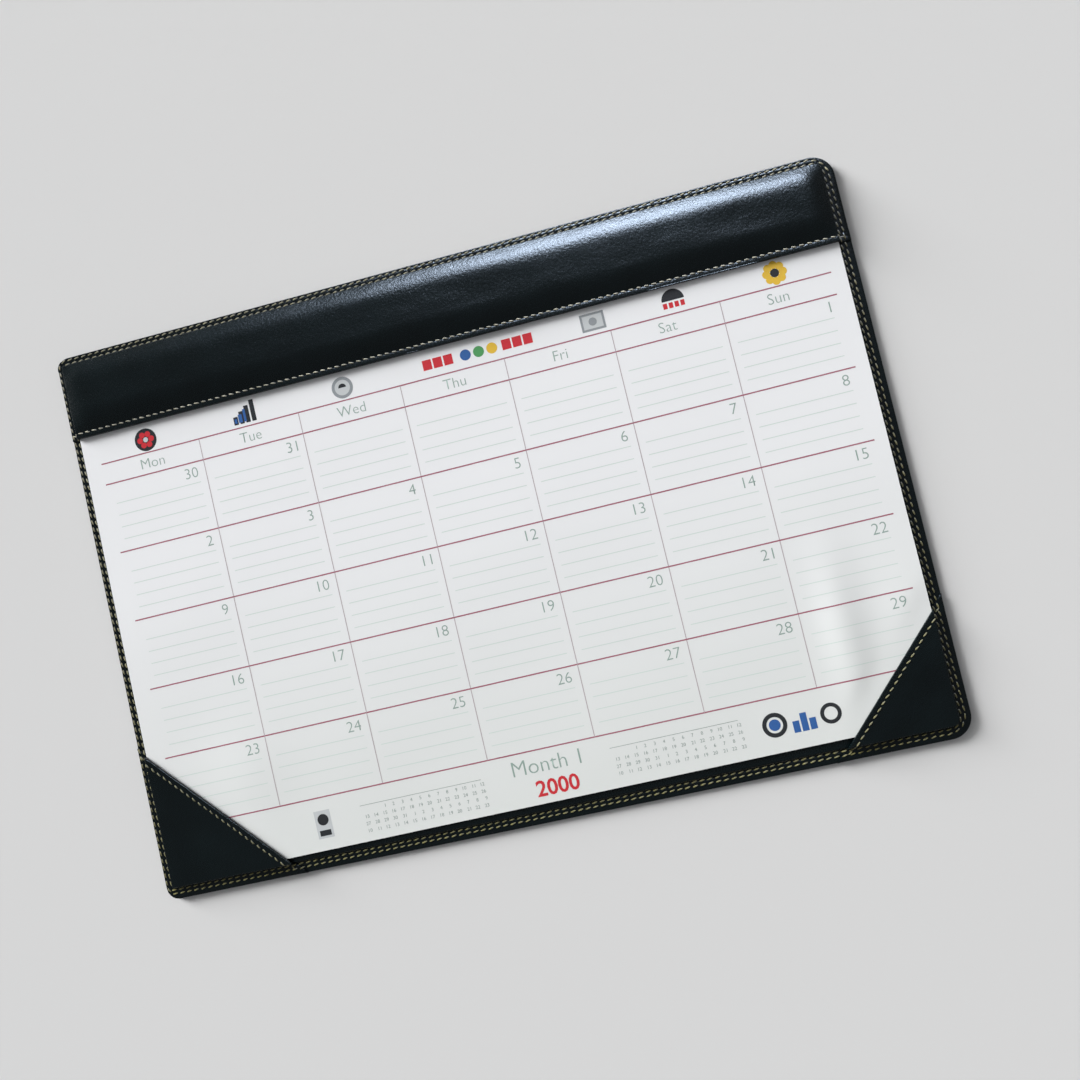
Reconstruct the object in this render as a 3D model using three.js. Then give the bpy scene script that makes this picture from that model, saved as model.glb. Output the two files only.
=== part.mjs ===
// A leatherette desk pad planner: a stiff sewn folder with a padded header band and two corner pockets, and the
// calendar pad that is tucked under them. Millimetres, +Z up. The origin is the middle of the underside, +Y points
// to the header band and +X to the user's right.
import * as THREE from "three";

// Folder outline, as the front panel's folded rim gives it
const folderWidth = 440;
const folderDepth = 310;
const cornerRadius = { topLeft: 7, topRight: 12, bottomRight: 12, bottomLeft: 7 };

// Materials' thicknesses
const skin = 0.7; // leatherette
const boardThickness = 2;
const padThickness = 1.2;
const liningThickness = 0.4;
const threadDiameter = 0.7;
const inkThickness = 0.08;

// Clearances between pieces that lie on each other
const layerGap = 0.05;
const foldGap = 0.15; // between the two layers of a turned edge
const padHeadroom = 0.25; // above the pad, under the header and the pockets
const foamGap = 0.15;

// Double row of stitches round the folder: its outer row's distance from each edge, and the gap between the rows
const rowMargin = { left: 1.3, right: 3.3, top: 1.7, bottom: 3.4 };
const rowSpacing = 2.2;
const boardBehindSeam = 1.05; // from the inner row to the edge of the board
const grooveDepth = 0.25; // how far the thread pulls the leatherette down
const grooveHalfWidth = 0.5;

// Header band and corner pockets
const headerDepth = 48; // from the folder's top edge to the header's folded lower edge
const leftPocket = { along: 82, up: 86 }; // from the corner to the folded edge, along X and Y
const rightPocket = { along: 71, up: 74 };
const coverBevel = 0.3; // the header's and the pockets' edges thin out at the folder's rim
const headerSeam = 2.6; // from the folded edge to its row of stitches
const pocketSeam = 2.8;
const headerTurnIn = 10; // width of the turned edge
const pocketTurnIn = 8;
const foamHeight = 3.6; // at the crown
const foamRamp = 13; // from the header's seam to the full crown

// Calendar pad, from the folder's edges
const padMargin = { left: 5.6, right: 7.4, top: 14, bottom: 10.4 };

// Print on the top sheet: the month grid's place, from the folder's left and top edges, and its sizes
const gridLeft = 15.6;
const gridTop = 63.6;
const weekdayRow = 11.9;
const dayWidth = 58.6;
const dayHeight = 39;
const daysInWeek = 7;
const weeksShown = 5;
const ruleWidth = 0.45;

// Heights that follow from the layers
const boardBottom = skin;
const boardTop = boardBottom + boardThickness;
const panelTop = boardTop + skin;
const padTop = panelTop + padThickness;
const turnInTop = boardBottom + skin;
const rimUnder = turnInTop + foldGap;
const rimTop = rimUnder + skin;
const coverRimTop = rimTop + skin;
const coverUnder = padTop + padHeadroom;

const arcSteps = 5;

// Rectangles with rounded corners, seen from above

const outline = {
  left: -folderWidth / 2,
  right: folderWidth / 2,
  top: folderDepth / 2,
  bottom: -folderDepth / 2,
  radius: cornerRadius,
};
const smallestRadius = 0.8;

/** The rectangle moved inwards by its own distance on each side, with each corner's radius reduced by shrink. */
function inset(rect, by, shrink) {
  const radius = {};
  for (const [corner, size] of Object.entries(rect.radius)) radius[corner] = Math.max(smallestRadius, size - shrink);
  return {
    left: rect.left + by.left,
    right: rect.right - by.right,
    top: rect.top - by.top,
    bottom: rect.bottom + by.bottom,
    radius,
  };
}

const evenly = (by) => ({ left: by, right: by, top: by, bottom: by });
const atEdge = (by) => inset(outline, evenly(by), by);

// The outer row of stitches, and rings that lie further in by a set distance. Corners tighten a little faster than
// the distance, so that the pad's square corners fit inside the walls that the covers form round it.
const meanRowMargin = (rowMargin.left + rowMargin.right + rowMargin.top + rowMargin.bottom) / 4;
const outerRow = inset(outline, rowMargin, meanRowMargin);
const cornerTightening = 1.4;
const atSeam = (by, topBy = by) => inset(outerRow, { ...evenly(by), top: topBy }, by * cornerTightening);

const corners = {
  bottomLeft: { x: "left", y: "bottom", start: Math.PI },
  bottomRight: { x: "right", y: "bottom", start: Math.PI * 1.5 },
  topRight: { x: "right", y: "top", start: 0 },
  topLeft: { x: "left", y: "top", start: Math.PI / 2 },
};

/** A point on one of the rectangle's corner arcs. */
function cornerPoint(rect, corner, angle) {
  const { x, y } = corners[corner];
  const r = rect.radius[corner];
  const centreX = rect[x] + (x === "left" ? r : -r);
  const centreY = rect[y] + (y === "bottom" ? r : -r);
  return new THREE.Vector2(centreX + r * Math.cos(angle), centreY + r * Math.sin(angle));
}

/** The whole outline as points, anticlockwise from the lower left corner. */
function ringPoints(rect) {
  const points = [];
  for (const [corner, { start }] of Object.entries(corners)) {
    for (let i = 0; i <= arcSteps; i++) points.push(cornerPoint(rect, corner, start + (i / arcSteps) * (Math.PI / 2)));
  }
  return points;
}

// Closed solids from points and triangles

function geometryOf(points, triangles) {
  const geometry = new THREE.BufferGeometry();
  geometry.setAttribute("position", new THREE.Float32BufferAttribute(points.flatMap((p) => [p.x, p.y, p.z]), 3));
  geometry.setIndex(triangles.flat());
  geometry.computeVertexNormals();
  return geometry;
}

/** A solid through rings of equal length, closed by a flat face on the first and the last one. */
function loftRings(rings) {
  const size = rings[0].length;
  const points = rings.flat();
  const triangles = [];
  for (let r = 0; r + 1 < rings.length; r++) {
    for (let i = 0; i < size; i++) {
      const a = r * size + i;
      const b = r * size + ((i + 1) % size);
      triangles.push([a, a + size, b], [b, a + size, b + size]);
    }
  }
  const last = (rings.length - 1) * size;
  for (let i = 1; i + 1 < size; i++) triangles.push([0, i, i + 1], [last, last + i + 1, last + i]);
  return geometryOf(points, triangles);
}

/** A sheet with an outer and an inner skin on the same triangles, joined by walls along every open edge. */
function thicken(outer, inner, triangles) {
  const count = outer.length;
  const faces = triangles.filter(([a, b, c]) => a !== b && b !== c && c !== a);
  const open = new Map();
  for (const [a, b, c] of faces) {
    for (const [from, to] of [[a, b], [b, c], [c, a]]) {
      if (open.has(`${to},${from}`)) open.delete(`${to},${from}`);
      else open.set(`${from},${to}`, [from, to]);
    }
  }
  const solid = [...faces, ...faces.map(([a, b, c]) => [a + count, c + count, b + count])];
  for (const [from, to] of open.values()) solid.push([to, from, from + count], [to, from + count, to + count]);
  return withoutLoosePoints([...outer, ...inner], solid);
}

/** The geometry without the points that no triangle uses. */
function withoutLoosePoints(points, triangles) {
  const kept = new Map();
  const used = triangles.map((corner) =>
    corner.map((i) => {
      if (!kept.has(i)) kept.set(i, kept.size);
      return kept.get(i);
    }),
  );
  return geometryOf([...kept.keys()].map((i) => points[i]), used);
}

/** A round cord with six flats along a path of points. It ends flat, or closes on itself. */
function cordAlong(path, radius, closed) {
  const flats = 6;
  const points = [];
  const triangles = [];
  path.forEach((point, i) => {
    const next = path[closed ? (i + 1) % path.length : Math.min(i + 1, path.length - 1)];
    const previous = path[closed ? (i - 1 + path.length) % path.length : Math.max(i - 1, 0)];
    const along = next.clone().sub(previous).normalize();
    const across = new THREE.Vector3(0, 0, 1).cross(along).normalize();
    const up = along.clone().cross(across);
    for (let f = 0; f < flats; f++) {
      const angle = (f / flats) * Math.PI * 2;
      const spoke = across.clone().multiplyScalar(Math.cos(angle)).addScaledVector(up, Math.sin(angle));
      points.push(point.clone().addScaledVector(spoke, radius));
    }
  });
  const steps = closed ? path.length : path.length - 1;
  for (let i = 0; i < steps; i++) {
    for (let f = 0; f < flats; f++) {
      const a = i * flats + f;
      const b = i * flats + ((f + 1) % flats);
      const c = ((i + 1) % path.length) * flats + f;
      const d = ((i + 1) % path.length) * flats + ((f + 1) % flats);
      triangles.push([a, b, c], [b, d, c]);
    }
  }
  if (!closed) {
    const last = (path.length - 1) * flats;
    for (let f = 1; f + 1 < flats; f++) triangles.push([0, f + 1, f], [last, last + f, last + f + 1]);
  }
  return geometryOf(points, triangles);
}

/** A flat plate with the rectangle's outline. */
function plate(rect, bottom, thickness) {
  const shape = new THREE.Shape(ringPoints(rect));
  const geometry = new THREE.ExtrudeGeometry(shape, { depth: thickness, bevelEnabled: false });
  return geometry.translate(0, 0, bottom);
}

// Back panel, board and front panel

const backPanelInset = 0.3; // the back panel stops just short of the rim
const boardEdge = rowSpacing + boardBehindSeam;
const boardSeat = 0.1; // round the board's edge

function makeBackPanel() {
  return plate(atEdge(backPanelInset), 0, skin);
}

function makeBoard() {
  return plate(atSeam(boardEdge), boardBottom, boardThickness);
}

/** The front panel: flat on the board, pulled down to the rim by the stitches, and turned under round the edge. */
function makeFrontPanel() {
  const shoulder = 0.35;
  const rimRound = 0.35;
  const turnInEnd = rowSpacing + 0.3; // of the turned edge, behind the inner row
  const foot = boardEdge - boardSeat - skin * 0.6; // of the slope down from the board
  const section = [
    [atSeam(boardEdge + shoulder * 2), panelTop],
    [atSeam(boardEdge + shoulder / 2), panelTop - shoulder * 0.8],
    [atSeam(foot + shoulder / 2), rimTop + 0.02],
    [atSeam(rowSpacing), rimTop - grooveDepth],
    [atSeam(rowSpacing - grooveHalfWidth), rimTop],
    [atSeam(grooveHalfWidth), rimTop],
    [atSeam(0), rimTop - grooveDepth],
    [atSeam(-grooveHalfWidth), rimTop],
    [atEdge(rimRound), rimTop - 0.1],
    [atEdge(0), (rimTop + boardBottom) / 2 + rimRound],
    [atEdge(0), (rimTop + boardBottom) / 2 - rimRound],
    [atEdge(rimRound), boardBottom],
    [atSeam(turnInEnd), boardBottom],
    [atSeam(turnInEnd), turnInTop],
    [atEdge(skin + 0.2), turnInTop],
    [atEdge(skin + 0.2), rimUnder],
    [atSeam(boardEdge - boardSeat), rimUnder],
    [atSeam(boardEdge - boardSeat), boardTop],
  ];
  return loftRings(section.map(([rect, z]) => ringPoints(rect).map((p) => new THREE.Vector3(p.x, p.y, z))));
}

// Header band and corner pockets: covers that are sewn to the rim on their outer sides and open along a folded edge

/** A cover's folded edge: a line across the folder, with its normal pointing over the covered area. */
function foldThrough(point, normal) {
  const n = normal.clone().normalize();
  return { n, offset: n.dot(point) };
}

const headerFold = foldThrough(new THREE.Vector2(0, outline.top - headerDepth), new THREE.Vector2(0, 1));
const leftPocketFold = foldThrough(
  new THREE.Vector2(outline.left, outline.bottom + leftPocket.up),
  new THREE.Vector2(-leftPocket.up, -leftPocket.along),
);
const rightPocketFold = foldThrough(
  new THREE.Vector2(outline.right, outline.bottom + rightPocket.up),
  new THREE.Vector2(rightPocket.up, -rightPocket.along),
);

const seamStations = (seam) => [seam - grooveHalfWidth, seam, seam + grooveHalfWidth];
const distanceFrom = (fold, point) => fold.n.dot(point) - fold.offset;

/** Where a straight side of the rectangle lies at a distance from the fold. */
function sidePoint(rect, side, fold, distance) {
  const c = fold.offset + distance;
  if (side === "left" || side === "right") return new THREE.Vector2(rect[side], (c - fold.n.x * rect[side]) / fold.n.y);
  return new THREE.Vector2((c - fold.n.y * rect[side]) / fold.n.x, rect[side]);
}

/** One leg of a cover's ring: along a straight side from the fold, at the distances given, then round the corner. */
function legPoints(rect, leg, fold, distances, shares) {
  const arcStart = cornerPoint(rect, leg.corner, leg.from);
  const arcDistance = distanceFrom(fold, arcStart);
  const last = distances[distances.length - 1];
  const straight = [...distances, ...shares.map((share) => last + (arcDistance - last) * share)];
  const points = straight.map((distance) => sidePoint(rect, leg.side, fold, distance));
  for (let i = 1; i <= arcSteps; i++) {
    points.push(cornerPoint(rect, leg.corner, leg.from + ((leg.to - leg.from) * i) / arcSteps));
  }
  return points;
}

/** 0 at the start of a ramp and 1 at its end, leaving the start steeply and arriving level. */
const swell = (share) => Math.sin((Math.min(Math.max(share, 0), 1) * Math.PI) / 2);

/** The rings of a cover, from its rim to its middle. foot and rise shape the wall that it forms round the pad. */
function coverRings(widenTop, foamRings) {
  const sewn = [
    { outer: atEdge(0), drop: coverBevel },
    { outer: atEdge(coverBevel), drop: 0.05 },
    { outer: atSeam(-grooveHalfWidth), drop: 0 },
    { outer: atSeam(0), drop: grooveDepth },
    { outer: atSeam(grooveHalfWidth), drop: 0 },
    { outer: atSeam(rowSpacing - grooveHalfWidth), drop: 0 },
    { outer: atSeam(rowSpacing), drop: grooveDepth },
  ].map((ring) => ({ ...ring, inner: ring.outer, rise: 0, innerRise: 0, foam: 0 }));
  const wall = [
    { out: 0.45, rise: 0, in: 0.65, innerRise: 0, foam: 0 },
    { out: 0.9, rise: 0.38, in: 1.1, innerRise: 0.4, foam: 0 },
    { out: 1.3, rise: 0.75, in: 1.45, innerRise: 0.73, foam: 0 },
    { out: 1.65, rise: 0.93, in: 1.75, innerRise: 1, foam: 0.05 },
    { out: 2.3, rise: 1, in: 2.3, innerRise: 1, foam: 0.2 },
    ...foamRings,
  ].map((ring) => ({
    outer: atSeam(rowSpacing + ring.out, rowSpacing + widenTop(ring.out)),
    inner: atSeam(rowSpacing + ring.in, rowSpacing + widenTop(ring.in)),
    drop: 0,
    rise: ring.rise,
    innerRise: ring.innerRise,
    foam: ring.foam,
  }));
  return [...sewn, ...wall];
}

const foldedFrom = 11; // the ring at which the turned edge begins, past the wall

/**
 * A cover as a sheet of leatherette with its turned edge. shape gives the legs, the fold, the rings, the heights and
 * the stations along the legs.
 */
function makeCover(shape) {
  const { legs, fold, rings, seam, turnIn, distances, shares, meets } = shape;
  const outer = [];
  const inner = [];
  const columns = [];
  const at = (point, z) => new THREE.Vector3(point.x, point.y, z);
  const outerHeight = (ring, d) => {
    const groove = Math.abs(d - seam) < 0.01 && ring.rise > 0 ? grooveDepth : 0;
    return THREE.MathUtils.lerp(coverRimTop, shape.deckTop(d), ring.rise) + shape.crown(d) * ring.foam - ring.drop - groove;
  };
  const innerHeight = (ring, d) =>
    THREE.MathUtils.lerp(rimTop, shape.deckTop(d) - skin, ring.innerRise) + shape.crown(d) * ring.foam;

  for (const leg of legs) {
    const column = rings.map((ring, k) => {
      const folded = k >= foldedFrom;
      const outerPlan = legPoints(ring.outer, leg, fold, distances, shares);
      const innerPlan = legPoints(ring.inner, leg, fold, distances, shares);
      const indices = outerPlan.map((point, i) => {
        const d = distanceFrom(fold, point);
        const innerD = distanceFrom(fold, innerPlan[i]);
        const nose = folded && i === 0;
        const innerPoint = folded && i < 2 ? sidePoint(ring.inner, leg.side, fold, skin) : innerPlan[i];
        const middle = (coverUnder + shape.deckTop(0)) / 2;
        outer.push(at(point, nose ? middle : outerHeight(ring, d) - (i === 0 ? 0.1 : 0)));
        inner.push(at(innerPoint, nose ? middle : innerHeight(ring, innerD)));
        return outer.length - 1;
      });
      const turned = [];
      if (folded) {
        for (const d of [skin / 2, turnIn / 2, turnIn]) {
          outer.push(at(sidePoint(ring.outer, leg.side, fold, d), coverUnder));
          inner.push(at(sidePoint(ring.inner, leg.side, fold, Math.max(d, skin + 0.1)), coverUnder + skin));
          turned.push(outer.length - 1);
        }
      }
      return { top: indices, turned };
    });
    columns.push(column);
  }

  const [left, right] = columns;
  const lastRow = left[0].top.length - 1;
  if (meets) right.forEach((ring, k) => (ring.top[lastRow] = left[k].top[lastRow]));
  const rows = [...left, ...[...right].reverse()];
  const triangles = [];
  const quad = (a, b, c, d) => triangles.push([a, b, c], [a, c, d]);
  for (let j = 0; j + 1 < rows.length; j++) {
    for (let i = 0; i < lastRow; i++) quad(rows[j].top[i], rows[j + 1].top[i], rows[j + 1].top[i + 1], rows[j].top[i + 1]);
    if (!rows[j].turned.length || !rows[j + 1].turned.length) continue;
    const here = [rows[j].top[0], ...rows[j].turned];
    const next = [rows[j + 1].top[0], ...rows[j + 1].turned];
    for (let i = 0; i + 1 < here.length; i++) quad(next[i], here[i], here[i + 1], next[i + 1]);
  }
  for (let k = 0; !meets && k + 1 < rings.length; k++) {
    quad(left[k + 1].top[lastRow], right[k + 1].top[lastRow], right[k].top[lastRow], left[k].top[lastRow]);
  }
  return { geometry: thicken(outer, inner, triangles), columns: rows, outer, distances };
}

// Header band

const liningBottom = coverUnder + skin + layerGap;
const liningTop = liningBottom + liningThickness;
const headerDeck = liningTop + layerGap + skin;
const headerWiden = (by) => by + Math.max(0, by - 1.45) * 0.3; // the crown slopes wider along the folder's top edge
const crownStations = [0.25, 0.45, 0.72, 1.08].map((share) => headerSeam + foamRamp * share);
const headerShape = {
  legs: [
    { side: "left", corner: "topLeft", from: Math.PI, to: Math.PI / 2 },
    { side: "right", corner: "topRight", from: 0, to: Math.PI / 2 },
  ],
  fold: headerFold,
  rings: coverRings(headerWiden, [
    { out: 4.3, rise: 1, in: 4.3, innerRise: 1, foam: 0.48 },
    { out: 7.3, rise: 1, in: 7.3, innerRise: 1, foam: 0.75 },
    { out: 11.3, rise: 1, in: 11.3, innerRise: 1, foam: 0.93 },
    { out: 15.8, rise: 1, in: 15.8, innerRise: 1, foam: 1 },
  ]),
  seam: headerSeam,
  turnIn: headerTurnIn,
  deckTop: () => headerDeck,
  crown: (d) => foamHeight * swell((d - headerSeam - grooveHalfWidth) / foamRamp),
  distances: [0, skin / 2, ...seamStations(headerSeam), ...crownStations],
  shares: [0.5, 1],
  meets: false,
};

/** The flat sheet that closes the padding from below. The header's turned edge wraps round its lower edge. */
function makeLining() {
  const rect = inset(atSeam(rowSpacing + 2.6, rowSpacing + headerWiden(2.6)), evenly(0), 0);
  rect.bottom = outline.top - headerDepth + skin + 0.3;
  rect.radius = { ...rect.radius, bottomLeft: smallestRadius, bottomRight: smallestRadius };
  return plate(rect, liningBottom, liningThickness);
}

/** The padding: it fills the header from the lining up to the leatherette, and thins out towards the seams. */
function makeFoam() {
  const rings = headerShape.rings.slice(foldedFrom + 1);
  const outer = [];
  const inner = [];
  const columns = headerShape.legs.map((leg) =>
    rings.map((ring) =>
      legPoints(ring.inner, leg, headerFold, crownStations, headerShape.shares).map((point) => {
        const d = distanceFrom(headerFold, point);
        const cover = headerDeck - skin + headerShape.crown(d) * ring.foam;
        outer.push(new THREE.Vector3(point.x, point.y, cover - foamGap));
        inner.push(new THREE.Vector3(point.x, point.y, liningTop + layerGap));
        return outer.length - 1;
      }),
    ),
  );
  const [left, right] = columns;
  const rows = [...left, ...[...right].reverse()];
  const lastRow = left[0].length - 1;
  const triangles = [];
  const quad = (a, b, c, d) => triangles.push([a, b, c], [a, c, d]);
  for (let j = 0; j + 1 < rows.length; j++) {
    for (let i = 0; i < lastRow; i++) quad(rows[j][i], rows[j + 1][i], rows[j + 1][i + 1], rows[j][i + 1]);
  }
  for (let k = 0; k + 1 < rings.length; k++) {
    quad(left[k + 1][lastRow], right[k + 1][lastRow], right[k][lastRow], left[k][lastRow]);
  }
  return thicken(outer, inner, triangles);
}

// Corner pockets

const pocketDeck = coverUnder + skin;
const pocketHemRise = skin + foldGap;
const pocketHemFall = 6; // from two layers down to one, past the turned edge
const hemStations = [0, 0.4, 1].map((share) => pocketTurnIn + pocketHemFall * share);

/** Shapes a pocket: two layers thick along its folded edge, and one layer thick towards the corner. */
function pocketShape(fold, legs) {
  return {
    legs,
    fold,
    rings: coverRings((by) => by, [{ out: 8, rise: 1, in: 8, innerRise: 1, foam: 1 }]),
    seam: pocketSeam,
    turnIn: pocketTurnIn,
    deckTop: (d) => pocketDeck + pocketHemRise * (1 - swell((d - pocketTurnIn) / pocketHemFall)),
    crown: (d) => 0.25 * swell((d - pocketTurnIn) / 12),
    distances: [0, skin / 2, ...seamStations(pocketSeam), ...hemStations],
    shares: [0.5, 1],
    meets: true,
  };
}

const leftPocketShape = pocketShape(leftPocketFold, [
  { side: "bottom", corner: "bottomLeft", from: Math.PI * 1.5, to: Math.PI * 1.25 },
  { side: "left", corner: "bottomLeft", from: Math.PI, to: Math.PI * 1.25 },
]);
const rightPocketShape = pocketShape(rightPocketFold, [
  { side: "right", corner: "bottomRight", from: Math.PI * 2, to: Math.PI * 1.75 },
  { side: "bottom", corner: "bottomRight", from: Math.PI * 1.5, to: Math.PI * 1.75 },
]);

// Threads

const threadRadius = threadDiameter / 2;
const threadLift = threadRadius + 0.12; // of a thread's middle above the leatherette

/** A thread along a cover's seam, up one wall, across the cover and down the other wall. */
function makeSeamThread(cover, shape) {
  const row = shape.distances.indexOf(shape.seam);
  const wallFoot = 10; // the ring of the wall at which the thread comes up
  const rings = cover.columns.filter((_, j) => j >= wallFoot && j < cover.columns.length - wallFoot);
  const groove = rings.map(({ top }) => cover.outer[top[row]]);
  const path = groove.map((point, i) => {
    const along = groove[Math.min(i + 1, groove.length - 1)].clone().sub(groove[Math.max(i - 1, 0)]).normalize();
    const across = new THREE.Vector3(0, 0, 1).cross(along).normalize();
    return point.clone().addScaledVector(along.cross(across), threadLift);
  });
  return cordAlong(path, threadRadius, false);
}

/** The height of the leatherette at the rim: the covers lie on the front panel, and threads climb over their edges. */
function rimHeight(point) {
  const climbFrom = -1.6;
  const climbTo = -0.5;
  const nearest = Math.max(
    distanceFrom(headerFold, point),
    distanceFrom(leftPocketFold, point),
    distanceFrom(rightPocketFold, point),
  );
  const climbed = THREE.MathUtils.clamp((nearest - climbFrom) / (climbTo - climbFrom), 0, 1);
  return THREE.MathUtils.lerp(rimTop, coverRimTop, climbed);
}

/** A thread round the whole folder, on one of the two rows. */
function makeRowThread(rect) {
  const sides = [
    ["bottomLeft", "bottom", [leftPocketFold, rightPocketFold]],
    ["bottomRight", "right", [rightPocketFold, headerFold]],
    ["topRight", "top", []],
    ["topLeft", "left", [headerFold, leftPocketFold]],
  ];
  const path = [];
  for (const [corner, side, folds] of sides) {
    const { start } = corners[corner];
    for (let i = 0; i <= arcSteps; i++) path.push(cornerPoint(rect, corner, start + (i / arcSteps) * (Math.PI / 2)));
    folds.forEach((fold, i) => {
      const steps = i === 0 ? [-0.5, -1.6] : [-1.6, -0.5];
      const leaving = distanceFrom(fold, path[path.length - 1]) > 0;
      for (const step of leaving ? [-0.5, -1.6] : steps) path.push(sidePoint(rect, side, fold, step));
    });
  }
  const lifted = path.map((point) => new THREE.Vector3(point.x, point.y, rimHeight(point) - grooveDepth + threadLift));
  return cordAlong(lifted, threadRadius, true);
}

// Calendar pad and its print

const padRect = inset(outline, padMargin, outline.radius.topRight);

function makePad() {
  const width = padRect.right - padRect.left;
  const depth = padRect.top - padRect.bottom;
  const geometry = new THREE.BoxGeometry(width, depth, padThickness);
  return geometry.translate((padRect.left + padRect.right) / 2, (padRect.top + padRect.bottom) / 2, panelTop + padThickness / 2);
}

/** The month grid: rules across the sheet over and under each week, and rules between the days. */
function makePrintedGrid() {
  const left = outline.left + gridLeft;
  const weeksTop = outline.top - gridTop - weekdayRow;
  const half = ruleWidth / 2;
  const xs = [left];
  for (let day = 1; day < daysInWeek; day++) xs.push(left + day * dayWidth - half, left + day * dayWidth + half);
  xs.push(left + daysInWeek * dayWidth);
  const ys = [];
  for (let week = weeksShown; week >= 0; week--) ys.push(weeksTop - week * dayHeight - half, weeksTop - week * dayHeight + half);
  ys.push(weeksTop + weekdayRow - half, weeksTop + weekdayRow + half);

  const face = (z) => ys.flatMap((y) => xs.map((x) => new THREE.Vector3(x, y, z)));
  const triangles = [];
  for (let row = 0; row + 1 < ys.length; row++) {
    for (let column = 0; column + 1 < xs.length; column++) {
      const inWeekRule = row % 2 === 0;
      const inDayRule = column % 2 === 1;
      if (!inWeekRule && !inDayRule) continue;
      const a = row * xs.length + column;
      const b = a + xs.length;
      triangles.push([a, a + 1, b + 1], [a, b + 1, b]);
    }
  }
  return thicken(face(padTop + inkThickness), face(padTop), triangles);
}

// Assembly

const leatherette = new THREE.MeshStandardMaterial({ color: 0x15181a, roughness: 0.42, metalness: 0 });
const backing = new THREE.MeshStandardMaterial({ color: 0x1b1c1d, roughness: 0.75, metalness: 0 });
const greyboard = new THREE.MeshStandardMaterial({ color: 0x8c857a, roughness: 0.9, metalness: 0 });
const foam = new THREE.MeshStandardMaterial({ color: 0xe4dfd2, roughness: 0.95, metalness: 0 });
const liningCloth = new THREE.MeshStandardMaterial({ color: 0x2a2b2d, roughness: 0.85, metalness: 0 });
const thread = new THREE.MeshStandardMaterial({ color: 0xb9b08a, roughness: 0.6, metalness: 0 });
const paper = new THREE.MeshStandardMaterial({ color: 0xeceeed, roughness: 0.7, metalness: 0 });
const rulesInk = new THREE.MeshStandardMaterial({ color: 0xb27f88, roughness: 0.7, metalness: 0 });

const planner = new THREE.Group();

function add(name, geometry, material) {
  const mesh = new THREE.Mesh(geometry, material.clone());
  mesh.name = name;
  planner.add(mesh);
}

const headerCover = makeCover(headerShape);
const leftCover = makeCover(leftPocketShape);
const rightCover = makeCover(rightPocketShape);

add("back_panel", makeBackPanel(), backing);
add("stiffener_board", makeBoard(), greyboard);
add("front_panel", makeFrontPanel(), leatherette);
add("header_band", headerCover.geometry, leatherette);
add("header_foam", makeFoam(), foam);
add("header_lining", makeLining(), liningCloth);
add("corner_pocket_left", leftCover.geometry, leatherette);
add("corner_pocket_right", rightCover.geometry, leatherette);
add("calendar_pad", makePad(), paper);
add("printed_month_grid", makePrintedGrid(), rulesInk);
add("rim_thread_outer", makeRowThread(atSeam(0)), thread);
add("rim_thread_inner", makeRowThread(atSeam(rowSpacing)), thread);
add("header_thread", makeSeamThread(headerCover, headerShape), thread);
add("left_pocket_thread", makeSeamThread(leftCover, leftPocketShape), thread);
add("right_pocket_thread", makeSeamThread(rightCover, rightPocketShape), thread);

export default planner;
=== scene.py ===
"""Looks of a desk pad planner.

The planner is a sewn leatherette folder with a padded header, and the calendar pad that it holds.
"""

from __future__ import annotations

import logging
import math
import random
from collections.abc import Callable, Iterable, Sequence
from dataclasses import dataclass, field
from enum import Enum
from typing import ClassVar

import bmesh
import bpy
from bmesh.types import BMesh, BMVert
from bpy.types import Light, Material, Node, NodeSocket, NodeTree, Object
from mathutils import Matrix, Vector, noise


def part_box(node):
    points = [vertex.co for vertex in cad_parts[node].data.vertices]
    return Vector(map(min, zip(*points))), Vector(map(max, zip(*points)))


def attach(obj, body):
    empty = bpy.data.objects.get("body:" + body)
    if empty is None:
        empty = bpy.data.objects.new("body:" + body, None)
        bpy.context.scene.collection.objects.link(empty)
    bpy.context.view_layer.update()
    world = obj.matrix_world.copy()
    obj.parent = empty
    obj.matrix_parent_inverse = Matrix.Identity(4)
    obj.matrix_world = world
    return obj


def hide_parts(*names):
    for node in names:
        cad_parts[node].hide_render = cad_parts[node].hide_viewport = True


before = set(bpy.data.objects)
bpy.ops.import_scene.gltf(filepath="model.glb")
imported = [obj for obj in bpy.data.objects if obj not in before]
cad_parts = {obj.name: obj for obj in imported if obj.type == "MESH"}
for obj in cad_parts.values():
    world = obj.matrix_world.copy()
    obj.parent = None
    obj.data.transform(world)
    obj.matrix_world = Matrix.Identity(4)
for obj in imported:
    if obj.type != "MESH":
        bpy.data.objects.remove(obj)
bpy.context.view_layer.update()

log = logging.getLogger("planner")

MM = 0.001
BODY = "root"
LIP_ZONE = -3.0  # distances from the outer row beyond this one are on a cover's pressed lip
ROW_TIGHTEN = 1.4  # the rows of stitches turn the corners more tightly than the edge does
LEAST_RADIUS = 0.8
MERGE = 0.004  # points nearer than this become one
SLIVER = 0.001  # edges shorter than this are dropped
LIP = 0.4  # how far a cover's cut edge is pressed down at the rim
Point = tuple[float, float]
Place = tuple[float, float, float]
Colour = tuple[float, float, float, float]
Inputs = dict[str | int, object]
Outlines = list[list[Point]]
Sizes = tuple[float, ...]


# Small helpers


def linear(hex_colour: str) -> Colour:
    """Turn an sRGB hex colour into linear light.

    Args:
        hex_colour: Six hex digits, with or without a hash sign.

    Returns:
        Red, green, blue and an alpha of 1.
    """
    digits = hex_colour.lstrip("#")
    channels = [int(digits[i : i + 2], 16) / 255 for i in (0, 2, 4)]
    red, green, blue = (c / 12.92 if c <= 0.04045 else ((c + 0.055) / 1.055) ** 2.4 for c in channels)
    return (red, green, blue, 1.0)


def mix(a: float, b: float, share: float) -> float:
    """Return the value a share of the way from a to b."""
    return a + (b - a) * share


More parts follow.
